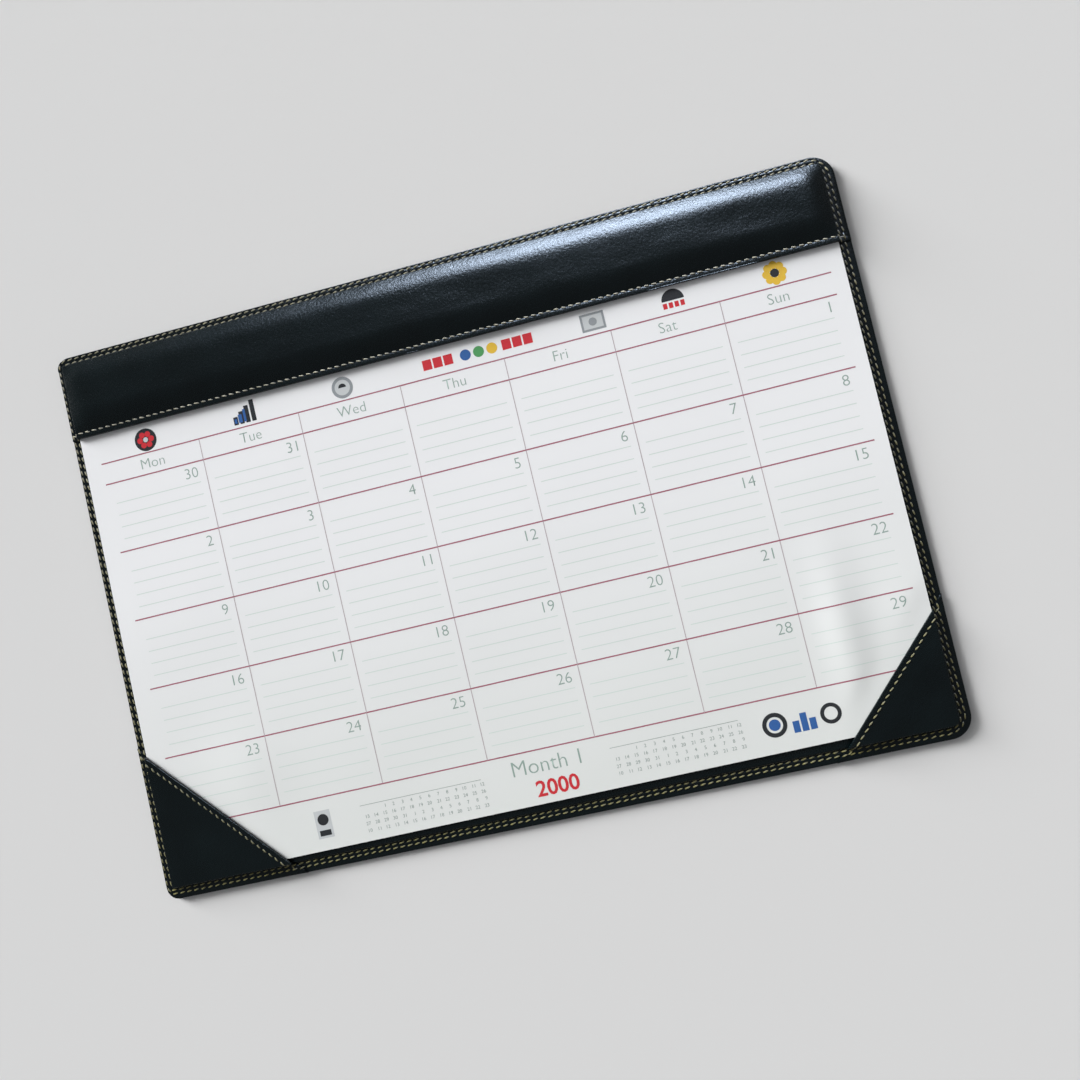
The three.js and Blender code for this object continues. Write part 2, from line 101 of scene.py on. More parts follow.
def smooth(x: float, start: float, end: float) -> float:
    """Return 0 before start, 1 after end and a soft step between them."""
    t = min(max((x - start) / (end - start), 0.0), 1.0)
    return t * t * (3 - 2 * t)


def swell(share: float) -> float:
    """Return a rise from 0 to 1 that starts steeply and arrives level."""
    return math.sin(min(max(share, 0.0), 1.0) * math.pi / 2)


def steps(start: float, end: float, pitch: float) -> list[float]:
    """Return evenly spaced values from start to end, about a pitch apart."""
    count = max(1, round(abs(end - start) / pitch))
    return [mix(start, end, i / count) for i in range(count + 1)]


def add_node(tree: NodeTree, kind: str, links: Inputs | None = None, **settings: object) -> Node:
    """Add a shader node with its settings, its values and its links.

    Args:
        tree: The node tree.
        kind: The node's type, such as ShaderNodeTexNoise.
        links: Input name or number to the output socket that feeds it, or to a plain value.
        settings: Properties of the node itself.

    Returns:
        The new node.
    """
    node = tree.nodes.new(kind)
    for name, value in settings.items():
        setattr(node, name, value)
    for name, source in (links or {}).items():
        if isinstance(source, NodeSocket):
            tree.links.new(source, node.inputs[name])
        else:
            node.inputs[name].default_value = source
    return node


def new_material(name: str) -> tuple[Material, NodeTree, Node]:
    """Make an empty material with an output.

    Args:
        name: The material's name.

    Returns:
        The material, its node tree and its output node.
    """
    material = bpy.data.materials.new(name)
    material.use_nodes = True
    tree = material.node_tree
    tree.nodes.clear()
    return material, tree, tree.nodes.new("ShaderNodeOutputMaterial")


def mesh_object(name: str, bm: BMesh, materials: Sequence[Material]) -> Object:
    """Turn a bmesh in millimetres into a smooth object in metres.

    Args:
        name: The piece's name.
        bm: The mesh, which is used up.
        materials: The object's materials, in slot order.

    Returns:
        The new object, linked to the scene.
    """
    bmesh.ops.scale(bm, vec=(MM, MM, MM), verts=bm.verts)
    mesh = bpy.data.meshes.new(name)
    bm.to_mesh(mesh)
    bm.free()
    mesh.polygons.foreach_set("use_smooth", [True] * len(mesh.polygons))
    for material in materials:
        mesh.materials.append(material)
    obj = bpy.data.objects.new(name, mesh)
    bpy.context.scene.collection.objects.link(obj)
    return obj


def settle(obj: Object, slot: str, *nodes: str) -> Object:
    """Tie a finished piece to the folder, and hide the solids that it stands for.

    Args:
        obj: The piece.
        slot: Not used.
        nodes: The solids that the piece replaces.

    Returns:
        The same piece.
    """
    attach(obj, BODY)
    if nodes:
        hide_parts(*nodes)
    log.info("%s: %d faces", obj.name, len(obj.data.polygons))
    return obj


def apply_modifiers(obj: Object) -> None:
    """Bake the object's modifiers into its mesh.

    Args:
        obj: The piece, whose modifiers are used up.
    """
    evaluated = obj.evaluated_get(bpy.context.evaluated_depsgraph_get())
    mesh = bpy.data.meshes.new_from_object(evaluated)
    obj.modifiers.clear()
    obj.data = mesh


def grid_faces(bm: BMesh, rows: Sequence[Sequence[BMVert]], closed: bool = False) -> None:
    """Join neighbouring rows of vertices with quads.

    Args:
        bm: The mesh.
        rows: Rows of equal length.
        closed: True where each row closes on itself.
    """
    for here, following in zip(rows, rows[1:]):
        count = len(here)
        for i in range(count if closed else count - 1):
            j = (i + 1) % count
            corners = [here[i], following[i], following[j], here[j]]
            distinct = list(dict.fromkeys(corners))
            if len(distinct) > 2:
                bm.faces.new(distinct)


def capped_tube(bm: BMesh, rows: Sequence[Sequence[BMVert]]) -> None:
    """Join closed rows of vertices and close both ends.

    Args:
        bm: The mesh.
        rows: Rows of equal length, from end to end.
    """
    grid_faces(bm, rows, closed=True)
    bm.faces.new(rows[0])
    bm.faces.new(rows[-1][::-1])


def box_mm(node: str) -> tuple[Vector, Vector]:
    """Return the low and the high corner of a solid's box, in millimetres."""
    low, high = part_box(node)
    return Vector(low) / MM, Vector(high) / MM


# Finishes


@dataclass(frozen=True)
class Finish:
    """A material drawn by nodes of its own, which feed one shader."""

    name: str
    shine: ClassVar[Inputs] = {}  # the shader's plain values
    relief: ClassVar[Point] = (0.0, 0.0)  # the bump's strength, and its depth in millimetres

    def build(self) -> Material:
        """Make the material.

        Returns:
            The material, with its shader joined to the output.
        """
        material, tree, output = new_material(self.name)
        place = add_node(tree, "ShaderNodeTexCoord").outputs["Object"]
        values = self.shine | self.surface(tree, place)
        if "Height" in values:
            strength, depth = self.relief
            links = {"Height": values.pop("Height"), "Strength": strength, "Distance": depth * MM}
            values["Normal"] = add_node(tree, "ShaderNodeBump", links).outputs[0]
        shader = add_node(tree, "ShaderNodeBsdfPrincipled", values)
        tree.links.new(shader.outputs[0], output.inputs[0])
        return material

    def surface(self, tree: NodeTree, place: NodeSocket) -> Inputs:
        """Add the finish's own nodes.

        Args:
            tree: The material's nodes.
            place: The place on the piece, in metres.

        Returns:
            What feeds the shader, and the bump's height.
        """
        raise NotImplementedError


@dataclass(frozen=True)
class Leatherette(Finish):
    """Embossed PVC leatherette: calendered vinyl on cloth, so a satin skin with a fine pebbled grain."""

    name: str = "leatherette_embossed_pvc"
    colour: str = "#04090a"
    light_colour: str = "#0b1416"
    grain_mm: float = 1.3  # real grain is about 0.5 mm; drawn coarser so that it shows
    pores_mm: float = 0.4545  # real pores are about 0.1 mm; drawn coarser so that they show
    mottles_mm: float = 22.22  # faint clouds of tone
    detail: float = 3.0
    pore_span: Point = (0.3, 0.7)  # of the pores' noise
    roughness: Point = (0.18, 0.34)  # over that span
    shine: ClassVar[Inputs] = {
        "IOR": 1.5,
        "Specular IOR Level": 0.26,
        "Specular Tint": (0.86, 0.95, 1.0, 1.0),
    }
    relief: ClassVar[Point] = (0.95, 0.09)

    def surface(self, tree: NodeTree, place: NodeSocket) -> Inputs:
        """Draw the pebbled grain, the pores that scatter the gloss, and the faint changes of tone.

        Args:
            tree: The material's nodes.
            place: The place on the piece, in metres.

        Returns:
            What feeds the shader, and the bump's height.
        """
        values = {"Vector": place, "Scale": 1 / (self.grain_mm * MM), "Randomness": 1.0}
        cells = add_node(tree, "ShaderNodeTexVoronoi", values, feature="SMOOTH_F1")
        scales = [1 / (size * MM) for size in (self.pores_mm, self.mottles_mm)]
        pores, mottles = (
            add_node(tree, "ShaderNodeTexNoise", {"Vector": place, "Scale": scale, "Detail": self.detail})
            for scale in scales
        )
        values = {0: cells.outputs["Distance"], 1: pores.outputs["Fac"]}
        grain = add_node(tree, "ShaderNodeMath", values, operation="ADD")
        values = {"Factor": mottles.outputs["Fac"], 6: linear(self.colour), 7: linear(self.light_colour)}
        tone = add_node(tree, "ShaderNodeMix", values, data_type="RGBA")
        ends = ("From Min", "From Max", "To Min", "To Max")
        values = {"Value": pores.outputs["Fac"], **dict(zip(ends, self.pore_span + self.roughness))}
        gloss = add_node(tree, "ShaderNodeMapRange", values)
        return {"Base Color": tone.outputs[2], "Roughness": gloss.outputs[0], "Height": grain.outputs[0]}


@dataclass(frozen=True)
class SewingThread(Finish):
    """Twisted polyester thread: a soft sheen across fine diagonal plies."""

    colour: str
    # painted light: the thread lightens up the folder to this colour at its top edge
    far_colour: str  # at the folder's top edge
    shade_colour: str = "#5f5a3c"
    lit_share: float = 0.6
    ply_mm: float = 3.563  # along the thread; real plies are under 1 mm, drawn coarser so that they show
    wave_period: float = math.pi / 5  # of the wave texture at a scale of 1
    wobble: float = 0.6
    span_m: Point = (-0.155, 0.155)  # of the folder, from bottom to top
    shine: ClassVar[Inputs] = {"Roughness": 0.5, "Sheen Weight": 0.15}
    relief: ClassVar[Point] = (0.5, 0.1)

    def surface(self, tree: NodeTree, place: NodeSocket) -> Inputs:
        """Draw diagonal plies in bump and in painted shade, with painted light lightening the colour up the
        folder.

        Args:
            tree: The material's nodes.
            place: The place on the piece, in metres.

        Returns:
            What feeds the shader, and the bump's height.
        """
        split = add_node(tree, "ShaderNodeSeparateXYZ", {"Vector": place})
        bottom, top = self.span_m
        values = {"Value": split.outputs["Y"], "From Min": bottom, "From Max": top}
        share = add_node(tree, "ShaderNodeMapRange", values)
        scale = self.wave_period / (self.ply_mm * MM)
        values = {"Vector": place, "Scale": scale, "Distortion": self.wobble, "Detail": 1.0}
        plies = add_node(tree, "ShaderNodeTexWave", values, bands_direction="DIAGONAL").outputs["Fac"]
        # painted light: the colour gets lighter towards the folder's top edge
        values = {"Factor": share.outputs[0], 6: linear(self.colour), 7: linear(self.far_colour)}
        base = add_node(tree, "ShaderNodeMix", values, data_type="RGBA").outputs[2]
        # painted shade in the grooves between the plies
        values = {"Factor": plies, 6: linear(self.shade_colour), 7: base}
        shaded = add_node(tree, "ShaderNodeMix", values, data_type="RGBA").outputs[2]
        values = {"Factor": self.lit_share, 6: shaded, 7: base}
        lifted = add_node(tree, "ShaderNodeMix", values, data_type="RGBA").outputs[2]
        return {"Base Color": lifted, "Height": plies}


@dataclass(frozen=True)
class Paper(Finish):
    """Smooth wood-free offset paper: a faintly fibrous white with painted shade towards the lower edge, and
    fine layers along the cut edges.
    """

    name: str = "offset_paper_sheets"
    colour: str = "#ebecee"
    # painted shade: the paper darkens to this colour at its lower edge, over the span that follows
    lower_colour: str = "#dde0de"
    tint_span_m: Point = (-0.145, 0.02)
    fibre_mm: float = 1.111  # clumps of fibres; single ones are too fine to show
    detail: float = 4.0
    sheet_mm: float = 0.12
    sheet_share: float = 0.5
    shine: ClassVar[Inputs] = {"Roughness": 0.8, "IOR": 1.45, "Specular IOR Level": 0.12}
    relief: ClassVar[Point] = (0.12, 0.03)

    def surface(self, tree: NodeTree, place: NodeSocket) -> Inputs:
        """Draw painted shade that darkens the paper towards the lower edge, the fibres, and sheet lines on
        the sides.

        Args:
            tree: The material's nodes.
            place: The place on the piece, in metres.

        Returns:
            What feeds the shader, and the bump's height.
        """
        split = add_node(tree, "ShaderNodeSeparateXYZ", {"Vector": place})
        low, high = self.tint_span_m
        values = {"Value": split.outputs["Y"], "From Min": low, "From Max": high}
        share = add_node(tree, "ShaderNodeMapRange", values)
        values = {"Vector": place, "Scale": 1 / (self.fibre_mm * MM), "Detail": self.detail}
        fibres = add_node(tree, "ShaderNodeTexNoise", values)
        # painted shade: the paper's colour darkens towards the lower edge
        values = {"Factor": share.outputs[0], 6: linear(self.lower_colour), 7: linear(self.colour)}
        painted_shade = add_node(tree, "ShaderNodeMix", values, data_type="RGBA")
        values = {0: split.outputs["Z"], 1: math.pi / (self.sheet_mm * MM)}
        layers = add_node(tree, "ShaderNodeMath", values, operation="MULTIPLY")
        wave = add_node(tree, "ShaderNodeMath", {0: layers.outputs[0]}, operation="SINE")
        values = {0: wave.outputs[0], 1: self.sheet_share, 2: fibres.outputs["Fac"]}
        height = add_node(tree, "ShaderNodeMath", values, operation="MULTIPLY_ADD")
        return {"Base Color": painted_shade.outputs[2], "Height": height.outputs[0]}


@dataclass(frozen=True)
class OffsetInk(Finish):
    """Offset printing ink: it sinks into the paper, so it is matt and a little uneven."""

    colour: str
    paper_colour: str = "#e9edee"
    show_through: float = 0.03
    tooth_mm: float = 0.6667  # the paper's tooth, drawn coarser than it is so that it shows
    detail: float = 2.0
    shine: ClassVar[Inputs] = {"Roughness": 0.8, "Specular IOR Level": 0.12}

    def surface(self, tree: NodeTree, place: NodeSocket) -> Inputs:
        """Draw the ink's colour with the paper's tooth showing through.

        Args:
            tree: The material's nodes.
            place: The place on the piece, in metres.

        Returns:
            What feeds the shader, and the bump's height.
        """
        values = {"Vector": place, "Scale": 1 / (self.tooth_mm * MM), "Detail": self.detail}
        tooth = add_node(tree, "ShaderNodeTexNoise", values)
        values = {"Value": tooth.outputs["Fac"], "To Min": 0.0, "To Max": self.show_through}
        thin = add_node(tree, "ShaderNodeMapRange", values)
        values = {"Factor": thin.outputs[0], 6: linear(self.colour), 7: linear(self.paper_colour)}
        tone = add_node(tree, "ShaderNodeMix", values, data_type="RGBA")
        return {"Base Color": tone.outputs[2]}


@dataclass(frozen=True)
class PressedBoard(Finish):
    """Greyboard, lining cloth and backing sheet: matt, fibrous materials that lie inside or underneath."""

    colour: str
    fibre_mm: float
    shade: float = 0.75  # of the darkest fibres
    detail: float = 5.0
    shine: ClassVar[Inputs] = {"Roughness": 0.85}
    relief: ClassVar[Point] = (0.4, 0.08)

    def surface(self, tree: NodeTree, place: NodeSocket) -> Inputs:
        """Draw mottled fibres in tone and bump.

        Args:
            tree: The material's nodes.
            place: The place on the piece, in metres.

        Returns:
            What feeds the shader, and the bump's height.
        """
        values = {"Vector": place, "Scale": 1 / (self.fibre_mm * MM), "Detail": self.detail}
        fibres = add_node(tree, "ShaderNodeTexNoise", values).outputs["Fac"]
        light = linear(self.colour)
        dark = (*(channel * self.shade for channel in light[:3]), 1.0)
        tone = add_node(tree, "ShaderNodeMix", {"Factor": fibres, 6: dark, 7: light}, data_type="RGBA")
        return {"Base Color": tone.outputs[2], "Height": fibres}


# Outline of the folder, in millimetres


class Corner(Enum):
    """The folder's corners: the sides that meet there, and where the arc starts, anticlockwise."""

    BOTTOM_LEFT = ("left", "bottom", math.pi)
    BOTTOM_RIGHT = ("right", "bottom", math.pi * 1.5)
    TOP_RIGHT = ("right", "top", 0.0)
    TOP_LEFT = ("left", "top", math.pi / 2)


@dataclass(frozen=True)
class RoundedRect:
    """A rectangle with its own radius at each corner."""

    left: float
    right: float
    top: float
    bottom: float
    radii: dict[Corner, float]

    def inset(self, by: float, top_by: float | None = None, tighten: float = 1.0) -> RoundedRect:
        """Return the rectangle moved inwards.

        Args:
            by: The distance on every side.
            top_by: The distance at the top, where it differs.
            tighten: How much of the distance comes off each corner's radius.

        Returns:
            The smaller rectangle.
        """
        radii = {corner: max(LEAST_RADIUS, radius - by * tighten) for corner, radius in self.radii.items()}
        top = self.top - (by if top_by is None else top_by)
        return RoundedRect(self.left + by, self.right - by, top, self.bottom + by, radii)

    def arc_point(self, corner: Corner, angle: float) -> Point:
        """Find a point on a corner's arc.

        Args:
            corner: The corner.
            angle: The direction from the arc's centre, in radians.

        Returns:
            The point.
        """
        side_x, side_y, _ = corner.value
        radius = self.radii[corner]
        centre_x = getattr(self, side_x) + (radius if side_x == "left" else -radius)
        centre_y = getattr(self, side_y) + (radius if side_y == "bottom" else -radius)
        return (centre_x + radius * math.cos(angle), centre_y + radius * math.sin(angle))

    def loop(self, along: int, across: int, arc: int) -> list[Point]:
        """Return the outline, anticlockwise, with set counts of points.

        Args:
            along: Steps on each long side.
            across: Steps on each short side.
            arc: Steps on each corner.

        Returns:
            The points, the first one not repeated.
        """
        points: list[Point] = []
        corners = list(Corner)
        for index, corner in enumerate(corners):
            start = corner.value[2]
            points += [self.arc_point(corner, start + i / arc * math.pi / 2) for i in range(arc + 1)]
            following = corners[(index + 1) % 4]
            end = self.arc_point(following, following.value[2])
            count = along if index % 2 == 0 else across
            x, y = points[-1]
            points += [(mix(x, end[0], i / count), mix(y, end[1], i / count)) for i in range(1, count)]
        return points


@dataclass(frozen=True)
class Fold:
    """The folded edge of a header or pocket: a line, with its normal pointing over what is covered."""

    normal: Point
    offset: float

    def distance(self, point: Point) -> float:
        """Return how far a point lies past the fold."""
        return self.normal[0] * point[0] + self.normal[1] * point[1] - self.offset

    def on_side(self, rect: RoundedRect, side: str, distance: float) -> Point:
        """Find the point of a rectangle's side at a distance from the fold.

        Args:
            rect: The rectangle.
            side: left, right, top or bottom.
            distance: The distance past the fold.

        Returns:
            The point.
        """
        c = self.offset + distance
        place = getattr(rect, side)
        if side in ("left", "right"):
            return (place, (c - self.normal[0] * place) / self.normal[1])
        return ((c - self.normal[1] * place) / self.normal[0], place)


@dataclass
class FolderForm:
    """The sizes that the folder's pieces share, in millimetres, read from the solids where they give them."""

    radii: dict[Corner, float] = field(default_factory=lambda: dict(zip(Corner, (7.0, 12.0, 12.0, 7.0))))
    row_margins: tuple[float, float, float, float] = (1.3, 3.3, 1.7, 3.4)  # left, right, top, bottom
    row_spacing: float = 2.2
    skin: float = 0.7
    header_depth: float = 48.0
    left_pocket: Point = (82.0, 86.0)  # from the corner to the fold, along X and Y
    right_pocket: Point = (71.0, 74.0)
    stitch_pitch: float = 4.1
    stitch_beat: float = 0.28  # share of the dip that comes and goes with each stitch
    dip: float = 0.28
    dip_width: float = 0.42
    cover_gap: float = 0.05
    cover_step: Point = (-0.7, -0.1)  # where the rim rises to a cover's thickness, before its fold

    def __post_init__(self) -> None:
        """Read the layers' heights and the outline from the solids."""
        low, high = box_mm("front_panel")
        self.pad = box_mm("calendar_pad")
        self.edge = RoundedRect(low.x, high.x, high.y, low.y, self.radii)
        left, right, top, bottom = self.row_margins
        mean = sum(self.row_margins) / 4
        row_radii = {corner: radius - mean for corner, radius in self.radii.items()}
        self.row = RoundedRect(low.x + left, high.x - right, high.y - top, low.y + bottom, row_radii)
        self.base = low.z
        self.panel_top = high.z
        self.pad_top = self.pad[1].z
        self.rim_top = box_mm("header_band")[0].z
        lining_low, lining_high = box_mm("header_lining")
        self.cover_under = lining_low.z - self.skin - self.cover_gap
        self.header_top = lining_high.z + self.cover_gap + self.skin
        self.header_fold = Fold((0.0, 1.0), high.y - self.header_depth)
        self.left_fold = self.pocket_fold(low.x, low.y, -1, self.left_pocket)
        self.right_fold = self.pocket_fold(high.x, low.y, 1, self.right_pocket)

    def pocket_fold(self, x: float, y: float, side: int, legs: Point) -> Fold:
        """Return a pocket's fold.

        Args:
            x: The corner's place across the folder.
            y: The corner's place up the folder.
            side: 1 for the right corner, -1 for the left one.
            legs: The fold's distances from the corner along X and Y.

        Returns:
            The fold, with its normal pointing at the corner.
        """
        normal = Vector((side * legs[1], -legs[0])).normalized()
        return Fold((normal.x, normal.y), normal.x * x + normal.y * (y + legs[1]))

    def nearest_cover(self, point: Point) -> float:
        """Return how far a point lies under the nearest cover, or minus how far it lies outside."""
        return max(fold.distance(point) for fold in (self.header_fold, self.left_fold, self.right_fold))

    def rim_height(self, point: Point) -> float:
        """Return the leatherette's height at the rim, where the covers add one layer."""
        return self.rim_top + self.skin * smooth(self.nearest_cover(point), *self.cover_step)

    def row_pull(self, by: float) -> float:
        """Return how far both rows of stitches pull the leather down, by the distance from the outer one."""
        return sum(math.exp(-(((by - row) / self.dip_width) ** 2)) for row in (0.0, self.row_spacing))

    def beat(self, x: float, y: float) -> float:
        """Return the share of the dip at a place, which comes and goes with the stitches."""
        return 1 - self.stitch_beat + self.stitch_beat * math.cos(2 * math.pi * (x + y) / self.stitch_pitch)


# The folder's front, sewn round its rim


@dataclass
class FrontCover:
    """The front's leatherette: flat over the board, sewn down along the rim and turned round the edge."""

    form: FolderForm
    finish: Material
    point_pitch: float = 1.37
    arc_steps: int = 12
    top_rings: tuple[float, float, float] = (7.0, -0.9, 0.21)  # from, to and pitch, inwards of the outer row
    climb: Point = (2.75, 4.0)  # where the leather climbs from the rim onto the board
    puff: float = 0.12  # between the two rows
    sink: float = 0.1
    turn_steps: int = 8
    turned_hem: float = 0.3  # past the inner row
    hollow_gap: float = 0.2
    bay_inset: float = 0.95  # of the board's bay, from the inner row
    ripple: float = 0.05
    ripple_rate: float = 0.12

    def section(self) -> list[tuple[RoundedRect, float, float]]:
        """Lay out the rings from the middle to the turned edge.

        Returns:
            Each ring's outline, its height and its share of pucker.
        """
        form = self.form
        rings: list[tuple[RoundedRect, float, float]] = []
        for by in steps(*self.top_rings):
            share = smooth(by, *self.climb)
            puff = self.puff * math.sin(math.pi * min(max(by / form.row_spacing, 0), 1))
            z = mix(form.rim_top, form.panel_top, share) + puff - self.sink * (1 - share)
            rings.append((form.row.inset(by, tighten=ROW_TIGHTEN), z, form.row_pull(by) * form.dip))
        middle = (form.rim_top + form.base) / 2
        radius = (form.rim_top - form.base) / 2
        for turn in range(self.turn_steps + 1):
            angle = math.pi / 2 - turn / self.turn_steps * math.pi
            outline = form.edge.inset(radius * (1 - math.cos(angle)))
            rings.append((outline, middle + radius * math.sin(angle), 0.0))
        hem = form.row.inset(form.row_spacing + self.turned_hem)
        hollow = form.edge.inset(form.skin + self.hollow_gap)
        bay = form.row.inset(form.row_spacing + self.bay_inset)
        low, high = form.base + form.skin, form.rim_top - form.skin
        inside = [(hem, form.base), (hem, low), (hollow, low), (hollow, high), (bay, high)]
        inside.append((bay, form.panel_top - form.skin))
        return rings + [(outline, z, 0.0) for outline, z in inside]

    def build(self) -> Object:
        """Build the front.

        Returns:
            The finished piece.
        """
        form = self.form
        along = round((form.row.right - form.row.left) / self.point_pitch)
        across = round((form.row.top - form.row.bottom) / self.point_pitch)
        bm = bmesh.new()
        rows = []
        for rect, z, pull in self.section():
            row = []
            for x, y in rect.loop(along, across, self.arc_steps):
                ripple = self.ripple * noise.noise(Vector((x, y, 0)) * self.ripple_rate) if pull else 0.0
                row.append(bm.verts.new((x, y, z - pull * form.beat(x, y) + ripple)))
            rows.append(row)
        capped_tube(bm, rows)
        bmesh.ops.recalc_face_normals(bm, faces=bm.faces)
        return settle(mesh_object("front_cover", bm, [self.finish]), "leatherette", "front_panel")


# Header band and corner pockets


@dataclass
class Leg:
    """One side of a cover, from its fold round half or all of a corner."""

    side: str
    corner: Corner
    start: float
    end: float


@dataclass
class SewnCover:
    """A sheet of leatherette sewn to the rim on its outer sides, with a turned edge along its fold."""

    name: str
    node: str
    form: FolderForm
    finish: Material
    fold: Fold
    legs: tuple[Leg, Leg]
    deck: Callable[[float], float]
    crown: Callable[[float], float]
    seam: float
    depth: float  # of the innermost ring, from the outer row
    widen: float = 0.0  # how much wider apart the outlines lie at the top
    along_pitch: float = 1.37
    middle_pitch: float = 2.2
    fade: float = 9.0  # of the crown, from the sewn sides
    meets: bool = True
    padding: tuple[str, ...] = ()  # solids inside that this cover shows the shape of
    wrinkle: float = 0.12
    wrinkle_waves: tuple[tuple[float, float, float, float], ...] = (
        (1.0, 0.02, 0.07, 3.1),  # strength, waves per mm across and up, seed
        (0.4, 0.07, 0.15, 1.7),
    )
    arc_steps: int = 10
    lip_insets: tuple[float, float, float] = (0.28, 0.4, 0.6)
    close_rings: tuple[float, float, float] = (-0.7, 4.6, 0.22)  # from, to and pitch
    wide_rings: Sizes = (5.2, 6, 7, 8.2, 9.6, 11.4, 13.4, 15.6, 18.0)
    widen_from: float = 3.65  # distance from the outer row
    climb: Point = (2.7, 4.1)  # where the cover climbs from the rim over the pad
    fade_from: float = 3.0
    seam_width: float = 0.5
    rest: float = 0.08  # of the cover's underside over the rim
    near_fold: Sizes = (0.0, 0.3, 0.8, 1.4, 2.0, 2.4, 2.75, 3.45, 3.8, 4.3, 5.0, 6.0)
    seam_clear: float = 0.2
    under_fold: Sizes = (6.0, 3.0, 1.2)
    nose_steps: int = 6
    nose_reach: float = 0.55
    nose_back: float = 0.25
    probe: int = 3  # the point of the innermost columns between which the width is taken
    sheet: float = 0.4  # the leatherette's thickness as drawn

    def rings(self) -> list[tuple[RoundedRect, float]]:
        """Lay out the outlines from the rim inwards.

        Returns:
            Each outline with its distance from the outer row.
        """
        form = self.form
        droops = zip(self.lip_insets, (LIP, LIP / 2, 0.0))
        lip = [(form.edge.inset(inset), LIP_ZONE - droop) for inset, droop in droops]
        inward = [by for by in (*steps(*self.close_rings), *self.wide_rings) if by < self.depth]
        rows = []
        for by in (*inward, self.depth):
            top_by = by + max(0.0, by - self.widen_from) * self.widen
            rows.append((form.row.inset(by, top_by, tighten=ROW_TIGHTEN), by))
        return lip + rows

    def height(self, point: Point, by: float, distance: float) -> float:
        """Return the surface's height.

        Args:
            point: The place seen from above.
            by: Distance from the outer row of stitches.
            distance: Distance past the fold.

        Returns:
            The height in millimetres.
        """
        form = self.form
        x, y = point
        share = smooth(by, *self.climb)
        z = mix(form.rim_top + form.skin, self.deck(distance), share)
        z += self.crown(distance) * self.plumpness(point)
        pull = form.row_pull(by) if by > LIP_ZONE else 0.0
        pull = max(pull, math.exp(-(((distance - self.seam) / self.seam_width) ** 2)))
        ripple = sum(
            strength * noise.noise(Vector((x * across, y * up, seed)))
            for strength, across, up, seed in self.wrinkle_waves
        )
        z -= max(0.0, LIP_ZONE - by)  # the pressed lip
        return z - form.dip * form.beat(x, y) * pull + ripple * self.wrinkle * share

    def plumpness(self, point: Point) -> float:
        """Find how full the padding is at a place, as it thins towards every sewn side.

        Args:
            point: The place seen from above.

        Returns:
            The share of the full crown.
        """
        row = self.form.row
        gaps = (point[0] - row.left, row.right - point[0], row.top - point[1], point[1] - row.bottom)
        return math.prod(swell((gap - self.fade_from) / self.fade) for gap in gaps)

    def under(self, by: float) -> float:
        """Return the height of the turned edge's underside."""
        return mix(self.form.rim_top + self.rest, self.form.cover_under, smooth(by, *self.climb))

    def stations(self, rect: RoundedRect, leg: Leg) -> list[Point]:
        """Lay out a leg's points on one outline, from the fold to the end of the corner.

        Args:
            rect: The outline.
            leg: The side and the part of the corner.

        Returns:
            The points.
        """
        near = sorted({d for d in self.near_fold if abs(d - self.seam) > self.seam_clear} | {self.seam})
        far = self.fold.distance(rect.arc_point(leg.corner, leg.start))
        count = self.leg_steps
        distances = near + [mix(near[-1], far, i / count) for i in range(1, count + 1)]
        turns = [leg.start + (leg.end - leg.start) * i / self.arc_steps for i in range(1, self.arc_steps + 1)]
        side = [self.fold.on_side(rect, leg.side, d) for d in distances]
        return side + [rect.arc_point(leg.corner, turn) for turn in turns]

    @property
    def leg_steps(self) -> int:
        """Steps between the fold's close stations and the corner."""
        reach = self.fold.distance(self.form.row.arc_point(self.legs[0].corner, self.legs[0].start))
        return max(4, round(reach / self.along_pitch))

    def column(self, rect: RoundedRect, by: float, leg: Leg) -> list[Vector]:
        """Lay out one column of the sheet: the turned edge, the rounded nose, and the leg's stations.

        Args:
            rect: The outline that the column follows.
            by: The outline's distance from the outer row.
            leg: The side and the part of the corner.

        Returns:
            The column's points.
        """
        plan = self.stations(rect, leg)
        top = [Vector((x, y, self.height((x, y), by, self.fold.distance((x, y))))) for x, y in plan]
        return self.nose(top[0], by, lambda d: self.fold.on_side(rect, leg.side, d)) + top

    def nose(self, first: Vector, by: float, place: Callable[[float], Point]) -> list[Vector]:
        """Return the points under the fold and round its nose.

        Args:
            first: The column's first point on top.
            by: Distance from the outer row of stitches.
            place: Gives the point at a distance past the fold.

        Returns:
            The points, from the turned edge's inner end to the nose.
        """
        low = self.under(by)
        radius = (first.z - low) / 2
        points = [Vector((*place(d), low)) for d in self.under_fold]
        for turn in range(1, self.nose_steps):
            angle = -math.pi / 2 + turn / self.nose_steps * math.pi
            reach = radius * self.nose_reach * math.cos(angle)
            z = low + radius + radius * math.sin(angle)
            points.append(Vector((*place(self.nose_back - reach), z)))
        return points

